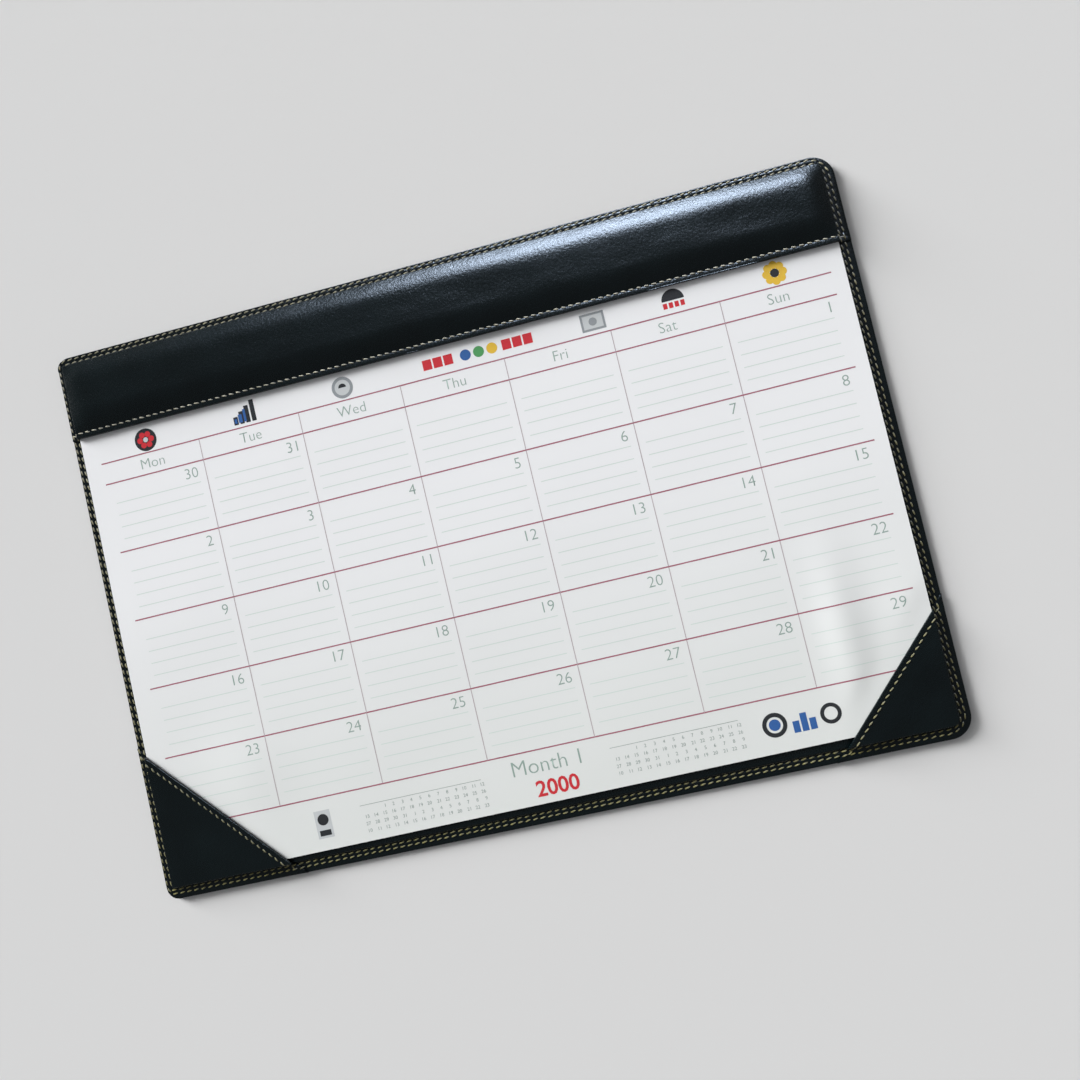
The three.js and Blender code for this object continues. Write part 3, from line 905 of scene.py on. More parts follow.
    def build(self) -> Object:
        """Build the cover.

        Returns:
            The finished piece.
        """
        bm = bmesh.new()
        rings = self.rings()
        sides = [[self.column(rect, by, leg) for rect, by in rings] for leg in self.legs]
        first, second = sides
        inner_a, inner_b = first[-1], second[-1]
        width = (inner_a[self.probe] - inner_b[self.probe]).length
        count = max(2, round(width / self.middle_pitch))
        shares = [i / count for i in range(count + 1)]
        between = [self.middle_column(inner_a, inner_b, share) for share in shares[1:-1]]
        columns = first + between + second[::-1]
        grid_faces(bm, [[bm.verts.new(p) for p in column] for column in columns])
        if not self.meets:
            strip = []
            for a, b, (_, by) in zip(first, second, rings):
                across = [self.raised(a[-1].lerp(b[-1], share), by) for share in shares]
                strip.append([bm.verts.new(point) for point in across])
            grid_faces(bm, strip)
        bmesh.ops.remove_doubles(bm, verts=bm.verts, dist=MERGE)
        bmesh.ops.dissolve_degenerate(bm, edges=bm.edges, dist=SLIVER)
        bmesh.ops.recalc_face_normals(bm, faces=bm.faces)
        highest = max(bm.faces, key=lambda face: face.calc_center_median().z)
        if highest.normal.z < 0:
            bmesh.ops.reverse_faces(bm, faces=bm.faces)
        obj = mesh_object(self.name, bm, [self.finish])
        shell = obj.modifiers.new("skin", "SOLIDIFY")
        shell.thickness = self.sheet * MM
        shell.offset = -1
        apply_modifiers(obj)
        return settle(obj, "leatherette", self.node, *self.padding)

    def middle_column(self, a: Sequence[Vector], b: Sequence[Vector], share: float) -> list[Vector]:
        """Lay out a column between the two innermost ones.

        Args:
            a: The innermost column on one side.
            b: The innermost column on the other side.
            share: How far the new column lies from the first to the second.

        Returns:
            The column's points, with those on top moved onto the true surface.
        """
        hidden = len(self.under_fold) + self.nose_steps - 1
        return [
            self.raised(p.lerp(q, share), self.depth) if i >= hidden else p.lerp(q, share)
            for i, (p, q) in enumerate(zip(a, b))
        ]

    def raised(self, point: Vector, by: float) -> Vector:
        """Return the point moved to the surface's height."""
        plan = (point.x, point.y)
        return Vector((*plan, self.height(plan, by, self.fold.distance(plan))))


# Stitches


@dataclass
class Stitches:
    """A row of separate stitches: slanted twists of thread whose ends sink into the leather."""

    name: str
    node: str
    finish: Material
    path: list[Vector]
    closed: bool = False
    pitch: float = 4.1
    length: float = 3.2
    radius: float = 0.36
    slant: float = 0.2
    seed: int = 5
    sections: int = 9
    sides: int = 8
    slant_spread: float = 0.05
    length_spread: Point = (0.95, 1.03)
    blunt: float = 3.2  # the higher, the fuller the ends
    tip: float = 0.08  # share of the radius that is left at the ends
    rise: float = 0.16
    dive: float = 0.5  # of the ends into the leather
    ply_depth: float = 0.1
    twist: float = 2.6
    flatten: Point = (1.05, 0.9)

    def places(self) -> Iterable[tuple[Vector, Vector]]:
        """Walk along the path, one stitch at a time.

        Yields:
            The middle and the direction of each stitch.
        """
        points = self.path + self.path[:1] if self.closed else self.path
        lengths = [(b - a).length for a, b in zip(points, points[1:])]
        total = sum(lengths)
        count = round(total / self.pitch)
        walked, index = 0.0, 0
        for number in range(count):
            target = (number + 0.5) / count * total
            while index < len(lengths) - 1 and walked + lengths[index] < target:
                walked += lengths[index]
                index += 1
            a, b = points[index], points[index + 1]
            share = (target - walked) / max(lengths[index], SLIVER)
            yield a.lerp(b, share), (b - a).normalized()

    def build(self) -> Object:
        """Sew the row as one piece.

        Returns:
            The finished piece.
        """
        rng = random.Random(self.seed)
        bm = bmesh.new()
        for middle, along in self.places():
            angle = self.slant + rng.uniform(-self.slant_spread, self.slant_spread)
            side = Vector((0, 0, 1)).cross(along).normalized()
            up = along.cross(side).normalized()
            ahead = along * math.cos(angle) + side * math.sin(angle)
            across = side * math.cos(angle) - along * math.sin(angle)
            half = self.length / 2 * rng.uniform(*self.length_spread)
            rows = []
            for section in range(self.sections):
                u = -1 + 2 * section / (self.sections - 1)
                slim = mix(math.sqrt(max(0.0, 1 - abs(u) ** self.blunt)), 1.0, self.tip)
                core = middle + ahead * (half * u) + up * (self.rise - self.dive * u**4)
                ring = []
                for k in range(self.sides):
                    turn = 2 * math.pi * k / self.sides
                    ply = 1 + self.ply_depth * math.cos(2 * (turn - self.twist * u))
                    wide, tall = self.flatten
                    offset = across * math.cos(turn) * wide + up * math.sin(turn) * tall
                    ring.append(bm.verts.new(core + offset * (self.radius * slim * ply)))
                rows.append(ring)
            capped_tube(bm, rows)
        bmesh.ops.recalc_face_normals(bm, faces=bm.faces)
        return settle(mesh_object(self.name, bm, [self.finish]), "thread", self.node)


# Calendar pad and its print


@dataclass
class CalendarPad:
    """The pad's sheets as one body, with the faint waves of paper held under the header and pockets."""

    form: FolderForm
    finish: Material
    pitch: float = 2.0
    tilt: float = math.radians(0.34)  # the pad sits a little askew in the folder
    set_high: float = 0.6
    held: Point = (-16.0, -1.0)  # where the sheets come to lie flat, before a cover's fold
    wave_height: float = 0.10
    wave_rates: Point = (0.031, 0.043)
    wave_starts: Point = (0.6, 1.1)
    cockle_height: float = 0.07
    cockle_rates: Point = (0.02, 0.025)
    cockle_seed: float = 0.3
    ridges: tuple[tuple[float, float, float, float, float], ...] = (
        (0.95, 168.0, -92.0, 10.0, 38.0),  # height, X, Y and the spreads, before the right pocket
        (0.4, -158.0, -96.0, 20.0, 24.0),
    )
    lift: tuple[float, float, float] = (0.5, 183.0, 207.0)  # height, from and to X, beyond the first ridge
    foot_gap: float = 0.01
    sharp_edge: float = math.radians(40)

    def turned(self, x: float, y: float) -> Point:
        """Return the place in the folder of a point given in the pad's own directions."""
        along, up = math.cos(self.tilt), math.sin(self.tilt)
        return (x * along - y * up, x * up + y * along)

    def height(self, x: float, y: float) -> float:
        """Find the top sheet's height.

        Args:
            x: The place across the folder.
            y: The place up the folder.

        Returns:
            The height in millimetres.
        """
        free = 1 - smooth(self.form.nearest_cover((x, y)), *self.held)
        (rate_x, rate_y), (start_x, start_y) = self.wave_rates, self.wave_starts
        wave = self.wave_height * math.sin(x * rate_x + start_x) * math.sin(y * rate_y + start_y)
        cockle = Vector((x * self.cockle_rates[0], y * self.cockle_rates[1], self.cockle_seed))
        wave += self.cockle_height * noise.noise(cockle)
        curl = sum(
            tall * math.exp(-(((x - at_x) / wide) ** 2) - ((y - at_y) / long) ** 2)
            for tall, at_x, at_y, wide, long in self.ridges
        )
        _, _, at_y, _, long = self.ridges[0]
        tall, start, end = self.lift
        curl += tall * smooth(x, start, end) * math.exp(-(((y - at_y) / long) ** 2))
        return self.form.pad_top + (wave + curl) * free

    def build(self) -> Object:
        """Build the pad, askew by its long edges so that the short ones stay inside the covers.

        Returns:
            The finished piece.
        """
        low, high = self.form.pad
        xs = steps(low.x, high.x, self.pitch)
        ys = steps(low.y, high.y, self.pitch)
        bm = bmesh.new()
        slope = math.tan(self.tilt)
        plan = [[(x, y + self.set_high + x * slope) for x in xs] for y in ys]
        top = [[bm.verts.new((*place, self.height(*place))) for place in row] for row in plan]
        grid_faces(bm, top)
        rim = top[0] + [row[-1] for row in top[1:]] + top[-1][-2::-1] + [row[0] for row in top[-2:0:-1]]
        foot_z = self.form.panel_top + self.foot_gap
        foot = [bm.verts.new((v.co.x, v.co.y, foot_z)) for v in rim]
        grid_faces(bm, [rim, foot], closed=True)
        bm.faces.new(foot)
        bmesh.ops.recalc_face_normals(bm, faces=bm.faces)
        obj = mesh_object("calendar_sheets", bm, [self.finish])
        obj.data.set_sharp_from_angle(angle=self.sharp_edge)
        return settle(obj, "paper", "calendar_pad")


@dataclass
class Printing:
    """Everything printed on the top sheet, as thin flat shapes that follow it."""

    pad: CalendarPad
    inks: dict[str, Material]
    left: float = -204.4
    top: float = 91.4
    weekday_row: float = 11.9
    day_width: float = 58.6
    day_height: float = 39.0
    days: int = 7
    weeks: int = 5
    rules_per_day: int = 4
    first_date: int = 2  # the second week starts on this day
    carried_dates: tuple[int, ...] = (30, 31)  # of the same month, in the first week's free cells
    weekdays: tuple[str, ...] = ("Mon", "Tue", "Wed", "Thu", "Fri", "Sat", "Sun")
    rule_width: float = 0.72
    hair_width: float = 0.42
    last_rule_cuts: Point = (18.0, 12.6)  # the last rule stops at the pockets
    note_place: Point = (4.0, 11.6)  # of a day's first line for notes, from the day's corner
    note_pitch: float = 6.8
    date_place: Point = (4.6, 2.3)  # from the day's upper right corner
    date_size: float = 6.2
    weekday_size: float = 6.0
    weekday_base: float = 3.3
    slim: float = 0.1
    month_place: Point = (1.2, -118.7)
    month_size: float = 8.6
    month_slim: float = 0.13
    year_place: Point = (16.8, -131.3)
    year_slim: float = -0.22
    table_places: tuple[Point, ...] = ((-102.4, -126.0), (36.2, -124.4))
    table_cells: tuple[int, int] = (4, 14)  # rows and columns
    table_pitch: Point = (5.02, 3.8)
    table_start: int = 2  # empty cells before the first number
    table_end: float = 0.8  # where a cell's number ends, as a share of the cell
    table_size: float = 1.9
    table_rule: tuple[float, float, float] = (1.4, 68.0, 0.25)  # height over the table, length and width
    month_days: int = 31
    ink_lift: float = 0.03
    layer_lift: float = 0.02
    cap_share: float = 0.73  # of a digit's height in the type's size
    curve_steps: int = 3
    arc_steps: int = 28
    block_gap: float = 0.9

    def lay(self, point: Point, lift: float) -> Vector:
        """Return the place on the sheet of a point of the print."""
        x, y = self.pad.turned(*point)
        return Vector((x, y, self.pad.height(x, y) + lift))

    def line(self, bm: BMesh, start: Point, end: Point, width: float) -> None:
        """Add a straight line of ink, in steps as short as those of the sheet.

        Args:
            bm: The mesh.
            start: One end of the line.
            end: The other end.
            width: The line's width.
        """
        count = max(1, round(math.dist(start, end) / self.pad.pitch))
        side = Vector((start[1] - end[1], end[0] - start[0])).normalized() * width / 2
        rows = []
        for i in range(count + 1):
            x, y = mix(start[0], end[0], i / count), mix(start[1], end[1], i / count)
            ends = [(x + s * side.x, y + s * side.y) for s in (1, -1)]
            rows.append([bm.verts.new(self.lay(end, self.ink_lift)) for end in ends])
        grid_faces(bm, rows)

    def numeral(
        self, bm: BMesh, text: str, anchor: Point, size: float, slim: float = 0.0, centred: bool = False
    ) -> None:
        """Add a number or a short plain mark.

        Args:
            bm: The mesh.
            text: The digits.
            anchor: Where the upper right corner goes, or the middle of the upper edge.
            size: The height of the digits.
            slim: How much the strokes are slimmed.
            centred: True to centre the mark on the anchor.
        """
        curve = bpy.data.curves.new("digits", "FONT")
        curve.body = text
        curve.size = size / self.cap_share
        curve.offset = -slim
        curve.resolution_u = self.curve_steps
        helper = bpy.data.objects.new("digits", curve)
        mesh = bpy.data.meshes.new_from_object(helper)
        width = max(v.co.x for v in mesh.vertices)
        left, base = anchor[0] - (width / 2 if centred else width), anchor[1] - size
        plan = [(left + v.co.x, base + v.co.y) for v in mesh.vertices]
        verts = [bm.verts.new(self.lay(point, self.ink_lift)) for point in plan]
        for polygon in mesh.polygons:
            bm.faces.new([verts[i] for i in polygon.vertices])
        bpy.data.objects.remove(helper)
        bpy.data.curves.remove(curve)
        bpy.data.meshes.remove(mesh)

    def finish(self, name: str, bm: BMesh, inks: Sequence[str], *nodes: str) -> Object:
        """Turn the ink upwards and settle it as a piece.

        Args:
            name: The piece's name.
            bm: The mesh.
            inks: The inks' names, in slot order.
            nodes: The solids that the piece replaces.

        Returns:
            The finished piece.
        """
        for face in bm.faces:
            face.normal_update()
            if face.normal.z < 0:
                face.normal_flip()
        return settle(mesh_object(name, bm, [self.inks[ink] for ink in inks]), "print", *nodes)

    def second_ink(self, bm: BMesh, start: int) -> None:
        """Give the faces from a number on the piece's second ink."""
        for face in list(bm.faces)[start:]:
            face.material_index = 1

    def day_corners(self) -> list[tuple[int, int, float, float]]:
        """List the days.

        Returns:
            Each day's week, its number in the week, and the place of its upper left corner.
        """
        top = self.top - self.weekday_row
        return [
            (week, day, self.left + day * self.day_width, top - week * self.day_height)
            for week in range(self.weeks)
            for day in range(self.days)
        ]

    def month_rules(self) -> None:
        """Print the rules over and under the weeks, and those between the days."""
        bm = bmesh.new()
        right = self.left + self.days * self.day_width
        weeks_top = self.top - self.weekday_row
        levels = [self.top] + [weeks_top - week * self.day_height for week in range(self.weeks + 1)]
        for y in levels[:-1]:
            self.line(bm, (self.left, y), (right, y), self.rule_width)
        cut_left, cut_right = self.last_rule_cuts
        self.line(bm, (self.left + cut_left, levels[-1]), (right - cut_right, levels[-1]), self.rule_width)
        across = len(bm.faces)
        for day in range(1, self.days):
            x = self.left + day * self.day_width
            self.line(bm, (x, self.top), (x, levels[-1]), self.hair_width)
        self.second_ink(bm, across)
        self.finish("month_rules", bm, ["rule", "column"], "printed_month_grid")

    def writing_rules(self) -> None:
        """Print the pale lines for notes in each day."""
        bm = bmesh.new()
        inset, first = self.note_place
        for _, _, x, y in self.day_corners():
            for rule in range(self.rules_per_day):
                level = y - first - rule * self.note_pitch
                self.line(bm, (x + inset, level), (x + self.day_width - inset, level), self.hair_width)
        self.finish("writing_rules", bm, ["writing_rule"])

    def dates(self) -> None:
        """Print the days' numbers."""
        bm = bmesh.new()
        inset, drop = self.date_place
        for week, day, x, y in self.day_corners():
            date = self.first_date + (week - 1) * self.days + day
            if date < 1 and day < len(self.carried_dates):
                date = self.carried_dates[day]
            if date > 0:
                place = (x + self.day_width - inset, y - drop)
                self.numeral(bm, str(date), place, self.date_size, self.slim)
        self.finish("date_numbers", bm, ["numeral"])

    def words(self) -> None:
        """Print short plain weekday marks over the columns and the month's number under the grid."""
        bm = bmesh.new()
        y = self.top - self.weekday_row + self.weekday_base + self.weekday_size
        for day, word in enumerate(self.weekdays):
            x = self.left + (day + 0.5) * self.day_width
            self.numeral(bm, word, (x, y), self.weekday_size, self.slim, centred=True)
        self.numeral(bm, "Month 1", self.month_place, self.month_size, self.month_slim, centred=True)
        self.finish("weekday_marks", bm, ["numeral"])

    def small_months(self) -> None:
        """Print the two small month tables and the number under the month."""
        bm = bmesh.new()
        rows, columns = self.table_cells
        across, down = self.table_pitch
        above, length, width = self.table_rule
        for left, top in self.table_places:
            for number in range(min(2 * self.month_days, rows * columns - self.table_start)):
                row, column = divmod(number + self.table_start, columns)
                place = (left + across * (column + self.table_end), top - down * row)
                self.numeral(bm, str(number % self.month_days + 1), place, self.table_size)
            self.line(bm, (left, top + above), (left + length, top + above), width)
        small = len(bm.faces)
        self.numeral(bm, "2000", self.year_place, self.month_size, self.year_slim)
        self.second_ink(bm, small)
        self.finish("month_tables", bm, ["small_type", "red"])

    def disc(self, centre: Point, radius: float, inner: float = 0.0, arc: float = 1.0) -> Outlines:
        """Draw a disc, a ring or a slice.

        Args:
            centre: The middle.
            radius: The outer radius.
            inner: The radius of a ring's hole.
            arc: The share of the full turn.

        Returns:
            The outlines of its patches.
        """
        count = self.arc_steps
        turn = [2 * math.pi * arc * i / count for i in range(count + 1)]
        rim, hole = (
            [(centre[0] + reach * math.cos(a), centre[1] + reach * math.sin(a)) for a in turn]
            for reach in (radius, inner)
        )
        if not inner:
            return [rim[:-1] if arc == 1 else rim + [centre]]
        return [[rim[i], rim[i + 1], hole[i + 1], hole[i]] for i in range(count)]

    def bar(self, left: float, bottom: float, width: float, height: float) -> Outlines:
        """Return the outline of an upright bar."""
        right, top = left + width, bottom + height
        return [[(left, bottom), (right, bottom), (right, top), (left, top)]]

    def rosette(self, centre: Point, radius: float, petals: int) -> Outlines:
        """Draw round petals in a circle.

        Args:
            centre: The middle.
            radius: The distance of the petals' middles, twice their own radius.
            petals: How many there are.

        Returns:
            The petals' outlines.
        """
        outlines = []
        for turn in (2 * math.pi * i / petals for i in range(petals)):
            middle = (centre[0] + radius * math.cos(turn), centre[1] + radius * math.sin(turn))
            outlines += self.disc(middle, radius / 2)
        return outlines

    def blocks(self, left: float, bottom: float, widths: Sizes, heights: Sizes) -> Outlines:
        """Draw upright bars side by side, a small gap apart.

        Args:
            left: The left end.
            bottom: The lower edge.
            widths: How wide each bar is.
            heights: How tall each bar is.

        Returns:
            The bars' outlines.
        """
        outlines = []
        for width, height in zip(widths, heights):
            outlines += self.bar(left, bottom, width, height)
            left += width + self.block_gap
        return outlines

    def ornaments(self) -> None:
        """Print a plain border of rosettes, half discs, rings and blocks over the month and beside it."""
        bm = bmesh.new()
        names = ["red", "black", "blue", "grey", "yellow", "green", "silver"]
        over, under = 98.6, -129.5
        shapes: list[tuple[str, Outlines, int]] = [  # ink, outlines and layer
            ("black", self.disc((-176, over), 6.4), 0),
            ("red", self.rosette((-176, over), 3.3, 6), 1),
            ("silver", self.disc((-176, over), 1.4), 2),
            ("black", self.blocks(-124, 93.4, (2.6, 2.6, 2.6, 2.6), (4.5, 7.0, 9.5, 12.0)), 0),
            ("blue", self.blocks(-123.4, 94.2, (1.4, 2.2, 1.4), (2.6, 4.6, 7.0)), 1),
            ("grey", self.disc((-60, over), 6.0), 0),
            ("silver", self.disc((-60, over), 4.3), 1),
            ("black", self.disc((-60, over), 2.2, arc=0.5), 2),
            ("red", self.blocks(-14, 95.8, (5.0, 5.0, 5.0), (5.6, 5.6, 5.6)), 0),
            ("blue", self.disc((10, over), 3.0), 0),
            ("green", self.disc((17.4, over), 3.0), 0),
            ("yellow", self.disc((24.8, over), 3.0), 0),
            ("red", self.blocks(30.4, 95.8, (5.0, 5.0, 5.0), (5.6, 5.6, 5.6)), 0),
            ("grey", self.bar(74, 93.6, 13.0, 9.6), 0),
            ("silver", self.bar(75.2, 94.8, 10.6, 7.2), 1),
            ("grey", self.disc((80.5, 98.4), 2.2), 2),
            ("black", self.disc((124, over), 6.0, arc=0.5), 0),
            ("red", self.blocks(118.2, 94.6, (2.2, 2.2, 2.2, 2.2), (3.0, 3.0, 3.0, 3.0)), 0),
            ("yellow", self.rosette((178, over), 4.3, 8), 0),
            ("black", self.disc((178, over), 2.3), 1),
            ("silver", self.bar(-128.5, -137.5, 9.0, 15.0), 0),
            ("black", self.disc((-124, -127.5), 3.1), 1),
            ("black", self.bar(-127.2, -136.2, 6.4, 3.0), 1),
            ("black", self.disc((122, under), 6.4, 4.2), 0),
            ("blue", self.disc((122, under), 3.0), 0),
            ("blue", self.blocks(131, -135.6, (3.4, 3.4, 3.4), (6.0, 9.4, 6.0)), 0),
            ("black", self.disc((151, under), 5.4, 3.4), 0),
        ]
        for ink, outlines, layer in shapes:
            lift = self.ink_lift + self.layer_lift * layer
            for outline in outlines:
                face = bm.faces.new([bm.verts.new(self.lay(point, lift)) for point in outline])
                face.material_index = names.index(ink)
        self.finish("print_ornaments", bm, names)

    def build(self) -> None:
        """Print the whole sheet."""
        self.month_rules()
        self.writing_rules()
        self.dates()
        self.words()
        self.small_months()
        self.ornaments()


# The folder as a whole


SEAM_THREADS = {
    "header_band": "header_thread",
    "corner_pocket_left": "left_pocket_thread",
    "corner_pocket_right": "right_pocket_thread",
}


@dataclass
class Folder:
    """The sewn folder: front, header, pockets, stitches, and the parts that lie inside and underneath."""

    form: FolderForm
    header_seam: float = 2.6
    pocket_seam: float = 2.8
    crown_height: float = 3.6
    crown_ramp: float = 13.0
    crown_start: float = 0.5  # past the seam
    pocket_gap: float = 0.15  # between the turned edge and the cover over it
    pocket_step: Point = (7.5, 24.0)  # past the fold, where the turned edge lets the cover down
    pocket_rise: float = 0.25
    pocket_ramp: Point = (8.0, 12.0)
    row_points: tuple[int, int, int] = (300, 210, 6)
    row_sink: float = 0.12
    seam_lift: float = 0.1
    seam_points: int = 60

    def __post_init__(self) -> None:
        """Make the finishes that several pieces share."""
        self.leatherette = Leatherette().build()
        self.header_thread = SewingThread("polyester_thread_cream", "#b9b39c", "#bdb8a4").build()
        self.rim_thread = SewingThread("polyester_thread_olive", "#7f7a4a", "#a39d80").build()
        self.pocket_thread = SewingThread("polyester_thread_gold", "#7c7854", "#7c7854").build()

    def build(self) -> None:
        """Build and dress every piece of the folder."""
        FrontCover(self.form, self.leatherette).build()
        covers = [self.header(), *self.pockets()]
        for cover in covers:
            cover.build()
        self.rim_rows()
        for cover in covers:
            self.seam_row(cover)
        self.inner_layers()

    def header_deck(self, _distance: float) -> float:
        """Return the header's height without its crown, which is the same all over."""
        return self.form.header_top

    def header_crown(self, distance: float) -> float:
        """Return the padding's rise by the distance past the fold."""
        return self.crown_height * swell((distance - self.header_seam - self.crown_start) / self.crown_ramp)

    def pocket_deck(self, distance: float) -> float:
        """Return a pocket's height, which is more over its turned edge."""
        thin = self.form.cover_under + self.form.skin
        return thin + (self.form.skin + self.pocket_gap) * (1 - smooth(distance, *self.pocket_step))

    def pocket_crown(self, distance: float) -> float:
        """Return the slight fullness of a pocket."""
        start, ramp = self.pocket_ramp
        return self.pocket_rise * swell((distance - start) / ramp)

    def header(self) -> SewnCover:
        """Lay out the padded header.

        Returns:
            The cover, not built yet.
        """
        legs = (
            Leg("left", Corner.TOP_LEFT, math.pi, math.pi / 2),
            Leg("right", Corner.TOP_RIGHT, 0.0, math.pi / 2),
        )
        return SewnCover(
            "header_cover", "header_band", self.form, self.leatherette, self.form.header_fold, legs,
            self.header_deck, self.header_crown, self.header_seam,
            depth=18.0, widen=0.3, fade=13.0, meets=False, wrinkle=0.3, probe=-20, padding=("header_foam",),
        )

    def pockets(self) -> list[SewnCover]:
        """Lay out the two corner pockets, which meet the corner in two halves.

        Returns:
            The covers, not built yet.
        """
        left_legs = (
            Leg("bottom", Corner.BOTTOM_LEFT, math.pi * 1.5, math.pi * 1.25),
            Leg("left", Corner.BOTTOM_LEFT, math.pi, math.pi * 1.25),
        )
        right_legs = (
            Leg("right", Corner.BOTTOM_RIGHT, math.pi * 2, math.pi * 1.75),
            Leg("bottom", Corner.BOTTOM_RIGHT, math.pi * 1.5, math.pi * 1.75),
        )
        corners = (("left", self.form.left_fold, left_legs), ("right", self.form.right_fold, right_legs))
        return [
            SewnCover(
                f"pocket_cover_{side}", f"corner_pocket_{side}", self.form, self.leatherette, fold, legs,
                self.pocket_deck, self.pocket_crown, self.pocket_seam, depth=10.2, wrinkle=0.1,
            )
            for side, fold, legs in corners
        ]

    def rim_rows(self) -> None:
        """Sew the double row round the rim."""
        for name, by in (("outer", 0.0), ("inner", self.form.row_spacing)):
            plan = self.form.row.inset(by, tighten=ROW_TIGHTEN).loop(*self.row_points)
            path = [Vector((*point, self.form.rim_height(point) - self.row_sink)) for point in plan]
            Stitches(f"rim_stitches_{name}", f"rim_thread_{name}", self.rim_thread, path, closed=True).build()

    def seam_row(self, cover: SewnCover) -> None:
        """Sew a header's or pocket's seam along its fold, from rim to rim.

        Args:
            cover: The header or the pocket.
        """
        lift = Vector((0, 0, self.seam_lift))
        ends = []
        for leg in cover.legs:
            side = []
            for rect, by in cover.rings():
                if by > LIP_ZONE:
                    plan = cover.fold.on_side(rect, leg.side, cover.seam)
                    side.append(Vector((*plan, cover.height(plan, by, cover.seam))) + lift)
            ends.append(side)
        start, end = ends[0][-1], ends[1][-1]
        shares = [i / self.seam_points for i in range(1, self.seam_points)]
        middle = [cover.raised(start.lerp(end, share), cover.depth) + lift for share in shares]
        path = ends[0] + middle + ends[1][::-1]
        node = SEAM_THREADS[cover.node]
        finish = self.header_thread if cover.node == "header_band" else self.pocket_thread
        Stitches(node.replace("thread", "stitches"), node, finish, path, slant=-0.2).build()

    def inner_layers(self) -> None:
        """Dress the solids that keep their own shape."""
        finishes = {
            "back_panel": PressedBoard("embossed_backing_sheet", "#1c1d1e", 1.2).build(),
            "stiffener_board": PressedBoard("pressed_greyboard", "#8c857a", 1.5).build(),
            "header_lining": PressedBoard("woven_lining_cloth", "#2a2b2d", 0.8).build(),
        }
        for node, material in finishes.items():
            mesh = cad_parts[node].data
            mesh.materials.clear()
            mesh.materials.append(material)


# Studio


@dataclass(frozen=True)
class Sun:
    """A soft sun that doesn't show in the leatherette's gloss."""

    name: str
    energy: float
    width: float  # in degrees, as seen from the planner
    place: Place
    colour: Place = (1.0, 1.0, 1.0)


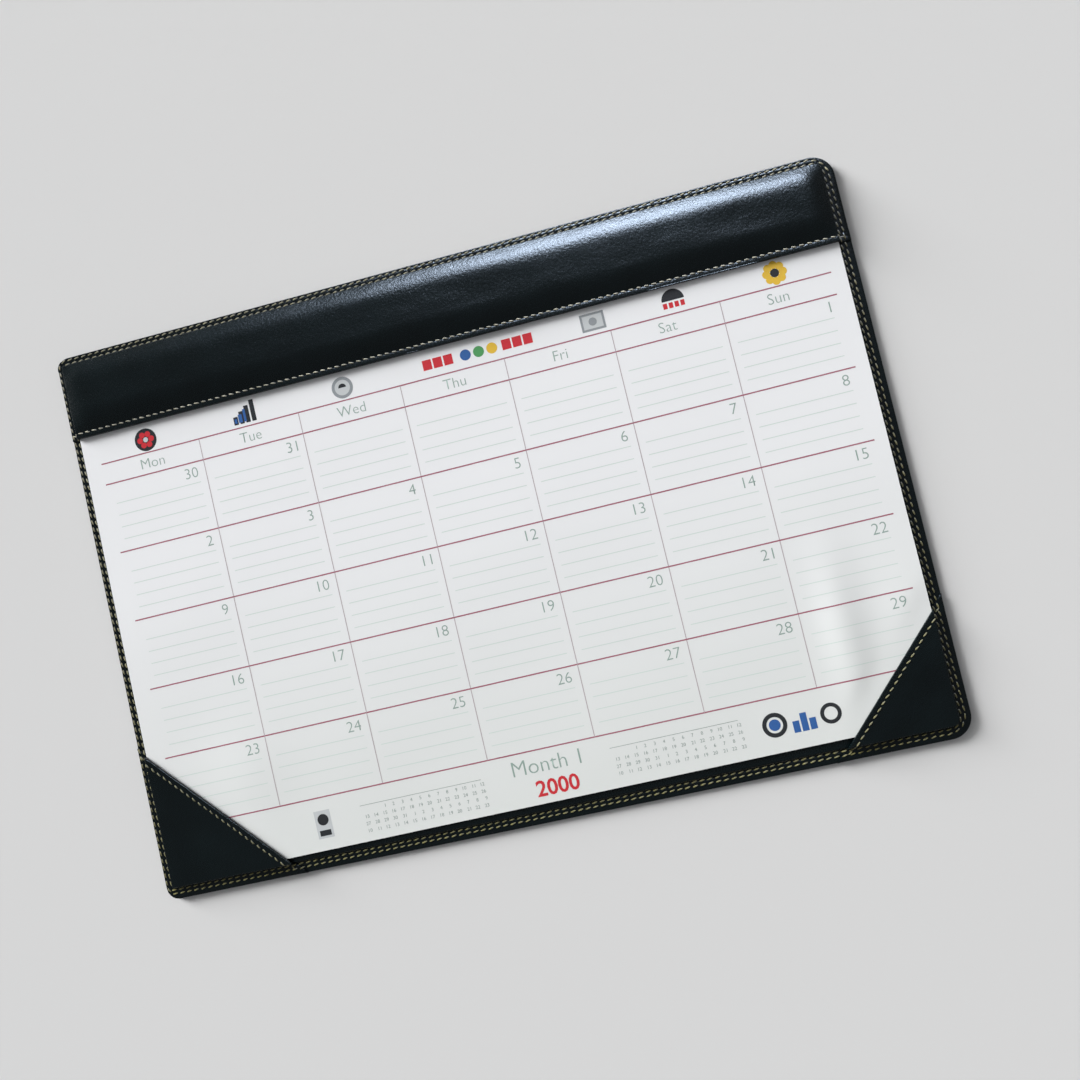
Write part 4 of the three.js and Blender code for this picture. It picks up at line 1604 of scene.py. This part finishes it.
@dataclass
class Studio:
    """The plain pale floor, the soft lights and the camera above the planner."""

    camera_place: Place = (0.0665, -0.0273, 0.4545)
    camera_target: Place = (0.0257, -0.0076, 0.0)
    camera_up: Place = (0.2295, 0.9731, 0.0215)
    lens: float = 28.33
    sensor: float = 36.0
    clip_start: float = 0.01
    floor_colour: str = "#dadada"
    floor_size: float = 16.0
    floor_gap: float = 0.05  # in millimetres, under the folder
    world_colour: Colour = (0.98, 0.99, 1.0, 1.0)
    world_strength: float = 0.24
    suns: tuple[Sun, ...] = (
        Sun("key_sun", 0.5, 20.0, (-0.9, 0.75, 0.85), (1.0, 0.995, 0.985)),
        Sun("low_sun", 6.85, 26.0, (-0.93, 0.75, 0.36)),
    )
    window_size: Point = (0.8, 0.38)
    window_energy: float = 76.0
    window_colour: Place = (0.76, 0.84, 1.0)
    window_place: Place = (0.24, 1.27, 0.84)
    window_target: Place = (0.05, 0.14, 0.0)

    def build(self) -> None:
        """Build the floor, the lights and the camera."""
        self.floor()
        self.world()
        self.lamps()
        self.camera()
        bpy.context.scene.view_settings.view_transform = "Standard"

    def floor(self) -> None:
        """Lay the floor just under the folder."""
        bm = bmesh.new()
        half = self.floor_size / 2 / MM
        corners = ((-1, -1), (1, -1), (1, 1), (-1, 1))
        bm.faces.new([bm.verts.new((x * half, y * half, -self.floor_gap)) for x, y in corners])
        material, tree, output = new_material("matt_paper_backdrop")
        shader = add_node(tree, "ShaderNodeBsdfDiffuse", {"Color": linear(self.floor_colour)})
        tree.links.new(shader.outputs[0], output.inputs[0])
        mesh_object("studio_floor", bm, [material])

    def world(self) -> None:
        """Light the scene evenly from all round."""
        world = bpy.data.worlds.new("soft_surround")
        bpy.context.scene.world = world
        world.use_nodes = True
        background = world.node_tree.nodes["Background"]
        background.inputs["Color"].default_value = self.world_colour
        background.inputs["Strength"].default_value = self.world_strength

    def lamps(self) -> None:
        """Hang two soft suns at the upper left and a window beyond the header."""
        for sun in self.suns:
            light = bpy.data.lights.new(sun.name, "SUN")
            light.energy = sun.energy
            light.angle = math.radians(sun.width)
            light.color = sun.colour
            self.aim(light, sun.place, (0, 0, 0)).visible_glossy = False
        window = bpy.data.lights.new("window_light", "AREA")
        window.shape = "RECTANGLE"
        window.size, window.size_y = self.window_size
        window.energy = self.window_energy
        window.color = self.window_colour
        pane = self.aim(window, self.window_place, self.window_target)
        pane.visible_diffuse = False  # it only glints on the leatherette, so the floor stays even

    def aim(self, light: Light, place: Place, target: Place) -> Object:
        """Place a light and point it at a target.

        Args:
            light: The light, whose name the object takes.
            place: Where it hangs.
            target: Where it points.

        Returns:
            The light's object.
        """
        obj = bpy.data.objects.new(light.name, light)
        obj.location = place
        obj.rotation_euler = (Vector(target) - Vector(place)).to_track_quat("-Z", "Y").to_euler()
        bpy.context.scene.collection.objects.link(obj)
        return obj

    def camera(self) -> None:
        """Place the camera where the photograph was taken from."""
        data = bpy.data.cameras.new("camera")
        data.lens = self.lens
        data.sensor_width = self.sensor
        data.clip_start = self.clip_start
        obj = bpy.data.objects.new("camera", data)
        back = (Vector(self.camera_place) - Vector(self.camera_target)).normalized()
        right = Vector(self.camera_up).cross(back).normalized()
        up = back.cross(right)
        turn = Matrix((right, up, back)).transposed().to_4x4()
        obj.matrix_world = Matrix.Translation(self.camera_place) @ turn
        bpy.context.scene.collection.objects.link(obj)
        bpy.context.scene.camera = obj


def make_inks() -> dict[str, Material]:
    """Make the print's inks.

    Returns:
        The materials by short name.
    """
    colours = {
        "rule": "#a0606e",
        "column": "#b3a4aa",
        "writing_rule": "#cedad5",
        "numeral": "#92a69e",
        "small_type": "#8d9a96",
        "red": "#c92a33",
        "black": "#232528",
        "blue": "#2f5d9e",
        "grey": "#8f9498",
        "yellow": "#e2b93a",
        "green": "#4f9a5b",
        "silver": "#c3c7c9",
    }
    return {name: OffsetInk(f"offset_ink_{name}", colour).build() for name, colour in colours.items()}


def main() -> None:
    """Build the planner piece by piece, then the studio round it."""
    logging.basicConfig(level=logging.INFO, format="%(message)s")
    form = FolderForm()
    Studio().build()
    Folder(form).build()
    pad = CalendarPad(form, Paper().build())
    pad.build()
    Printing(pad, make_inks()).build()


if __name__ == "__main__":
    main()
